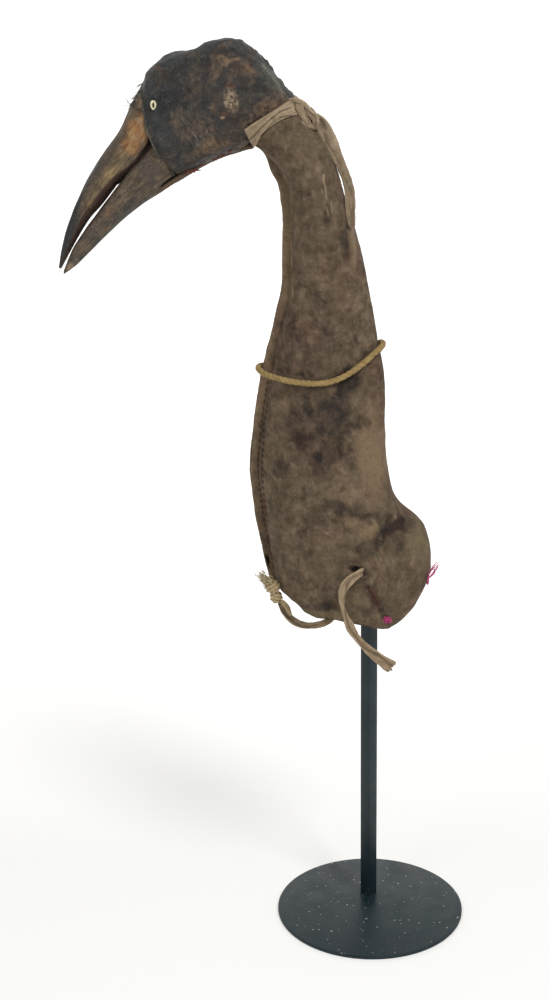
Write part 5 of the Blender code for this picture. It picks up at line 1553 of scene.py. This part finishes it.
# ------------------------------------------------------------------ stand
def make_stand():
    steel = paint_material()
    for node, width in (("stand_disc", 0.0007), ("stand_post", 0.0007)):
        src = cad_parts[node]
        lo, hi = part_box(node)
        bm = bmesh.new()
        if node == "stand_disc":
            r, z0, z1 = (hi[0] - lo[0]) / 2, lo[2], hi[2]
            bmesh.ops.create_cone(bm, cap_ends=True, segments=192, radius1=r, radius2=r, depth=z1 - z0)
            for v in bm.verts:
                v.co.z += (z0 + z1) / 2
            edges = [e for e in bm.edges if len(e.link_faces) == 2 and e.calc_face_angle() > 0.5]
        else:
            half, width = 5.0 * MM, 0.3 * MM
            cx, cy = (lo[0] + hi[0]) / 2, (lo[1] + hi[1]) / 2
            bmesh.ops.create_cube(bm, size=1.0)
            c = math.sqrt(0.5)
            for v in bm.verts:
                x, y = v.co.x * 2 * half, v.co.y * 2 * half
                v.co = (cx + (x - y) * c, cy + (x + y) * c, lo[2] + (v.co.z + 0.5) * (hi[2] - lo[2]))
            edges = list(bm.edges)
        bmesh.ops.bevel(bm, geom=edges, offset=width, segments=4, profile=0.5, affect="EDGES")
        mesh = bpy.data.meshes.new(node + "_painted")
        bm.to_mesh(mesh)
        bm.free()
        mesh.shade_smooth()
        mesh.set_sharp_from_angle(angle=math.radians(30))
        mesh.materials.append(steel)
        piece(link(node + "_painted", mesh), "steel", node)
        del src
    # a thin run of weld and paint round the bar's foot
    lo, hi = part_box("stand_post")
    c = np.array([(lo[0] + hi[0]) / 2, (lo[1] + hi[1]) / 2, lo[2]])
    r0 = (hi[0] - lo[0]) / 2
    rows, cols = 7, 120
    th = np.linspace(0, 2 * math.pi, cols, endpoint=False)
    square = 1 / (np.abs(np.cos(th)) + np.abs(np.sin(th)))
    rings = []
    for k in range(rows):
        f = k / (rows - 1)
        r = r0 * square * (1 - 0.02) + (1 - f) ** 2 * 1.3 * MM
        z = c[2] - 0.25 * MM + f**2 * 1.2 * MM
        rings.append(np.stack([c[0] + r * np.cos(th), c[1] + r * np.sin(th), 0 * th + z + 0.08 * MM * np.sin(9 * th)], -1))
    verts, faces = close_ends(np.stack(rings))
    mesh = mesh_of("foot_weld", verts, faces)
    outward(mesh)
    mesh.materials.append(steel)
    piece(link("foot_weld", mesh), "steel")


# ------------------------------------------------------------------ floor and light
def make_studio():
    # white sweep: floor, bend and wall in one sheet
    side = [(-1.4, 0.0), (2.6, 0.0)] + [(2.6 + 0.8 * math.sin(x), 0.8 - 0.8 * math.cos(x)) for x in np.linspace(0.1, math.pi / 2, 14)] + [(3.4, 4.0)]
    verts = [(x, y, z - 0.0002) for y, z in side for x in (-4.0, 4.0)]
    mesh = mesh_of("sweep", verts, [[2 * i, 2 * i + 1, 2 * i + 3, 2 * i + 2] for i in range(len(side) - 1)])
    floor = link("sweep", mesh)
    m = bpy.data.materials.new("sweep")
    m.use_nodes = True
    s = m.node_tree.nodes["Principled BSDF"]
    s.inputs["Base Color"].default_value = (0.55, 0.548, 0.535, 1)
    s.inputs["Roughness"].default_value = 1.0
    s.inputs["Specular IOR Level"].default_value = 0.0
    s.inputs["Emission Color"].default_value = (1.0, 0.995, 0.975, 1)
    t = m.node_tree
    rise = t.nodes.new("ShaderNodeSeparateXYZ")
    t.links.new(t.nodes.new("ShaderNodeTexCoord").outputs["Object"], rise.inputs[0])
    glow = t.nodes.new("ShaderNodeMapRange")
    for k, v in zip(("From Min", "From Max", "To Min", "To Max"), (0.10, 1.10, 0.475, 0.92)):
        glow.inputs[k].default_value = v
    far = t.nodes.new("ShaderNodeMath")
    far.operation = "ADD"
    t.links.new(rise.outputs["Y"], far.inputs[0])
    t.links.new(rise.outputs["Z"], far.inputs[1])
    t.links.new(far.outputs[0], glow.inputs["Value"])
    t.links.new(glow.outputs["Result"], s.inputs["Emission Strength"])
    mesh.materials.append(m)

    world = bpy.data.worlds.new("studio")
    bpy.context.scene.world = world
    world.use_nodes = True
    bg = world.node_tree.nodes["Background"]
    bg.inputs["Color"].default_value = (1.0, 1.0, 1.0, 1)
    bg.inputs["Strength"].default_value = 0.34

    def lamp(name, at, look, size, watts, colour=(1, 1, 1)):
        d = bpy.data.lights.new(name, "AREA")
        d.shape, d.size, d.energy, d.color = "DISK", size, watts, colour
        o = bpy.data.objects.new(name, d)
        bpy.context.scene.collection.objects.link(o)
        at, look = np.array(at, float), np.array(look, float)
        z = at - look
        z /= np.linalg.norm(z)
        x = np.cross((0, 0, 1), z)
        x /= np.linalg.norm(x)
        m = np.eye(4)
        m[:3, 0], m[:3, 1], m[:3, 2], m[:3, 3] = x, np.cross(z, x), z, at
        o.matrix_world = Matrix(m.tolist())

    lamp("key", (0.75, -1.15, 2.0), (-0.05, 0, 0.50), 0.7, 26)
    lamp("fill", (-1.3, -1.5, 1.5), (-0.05, 0, 0.50), 0.9, 9)
    bpy.context.scene.view_settings.view_transform = "Standard"


make_ties()
make_stand()
NECK_POINTS, NECK_ANGLES = make_neck()
HEAD_POINTS = make_head()
make_beak()
make_jaw()
make_eyes()
make_strap()
make_neck_cord()
make_front_knot()
make_trim(NECK_POINTS, NECK_ANGLES, HEAD_POINTS)
make_studio()

bpy.context.view_layer.update()
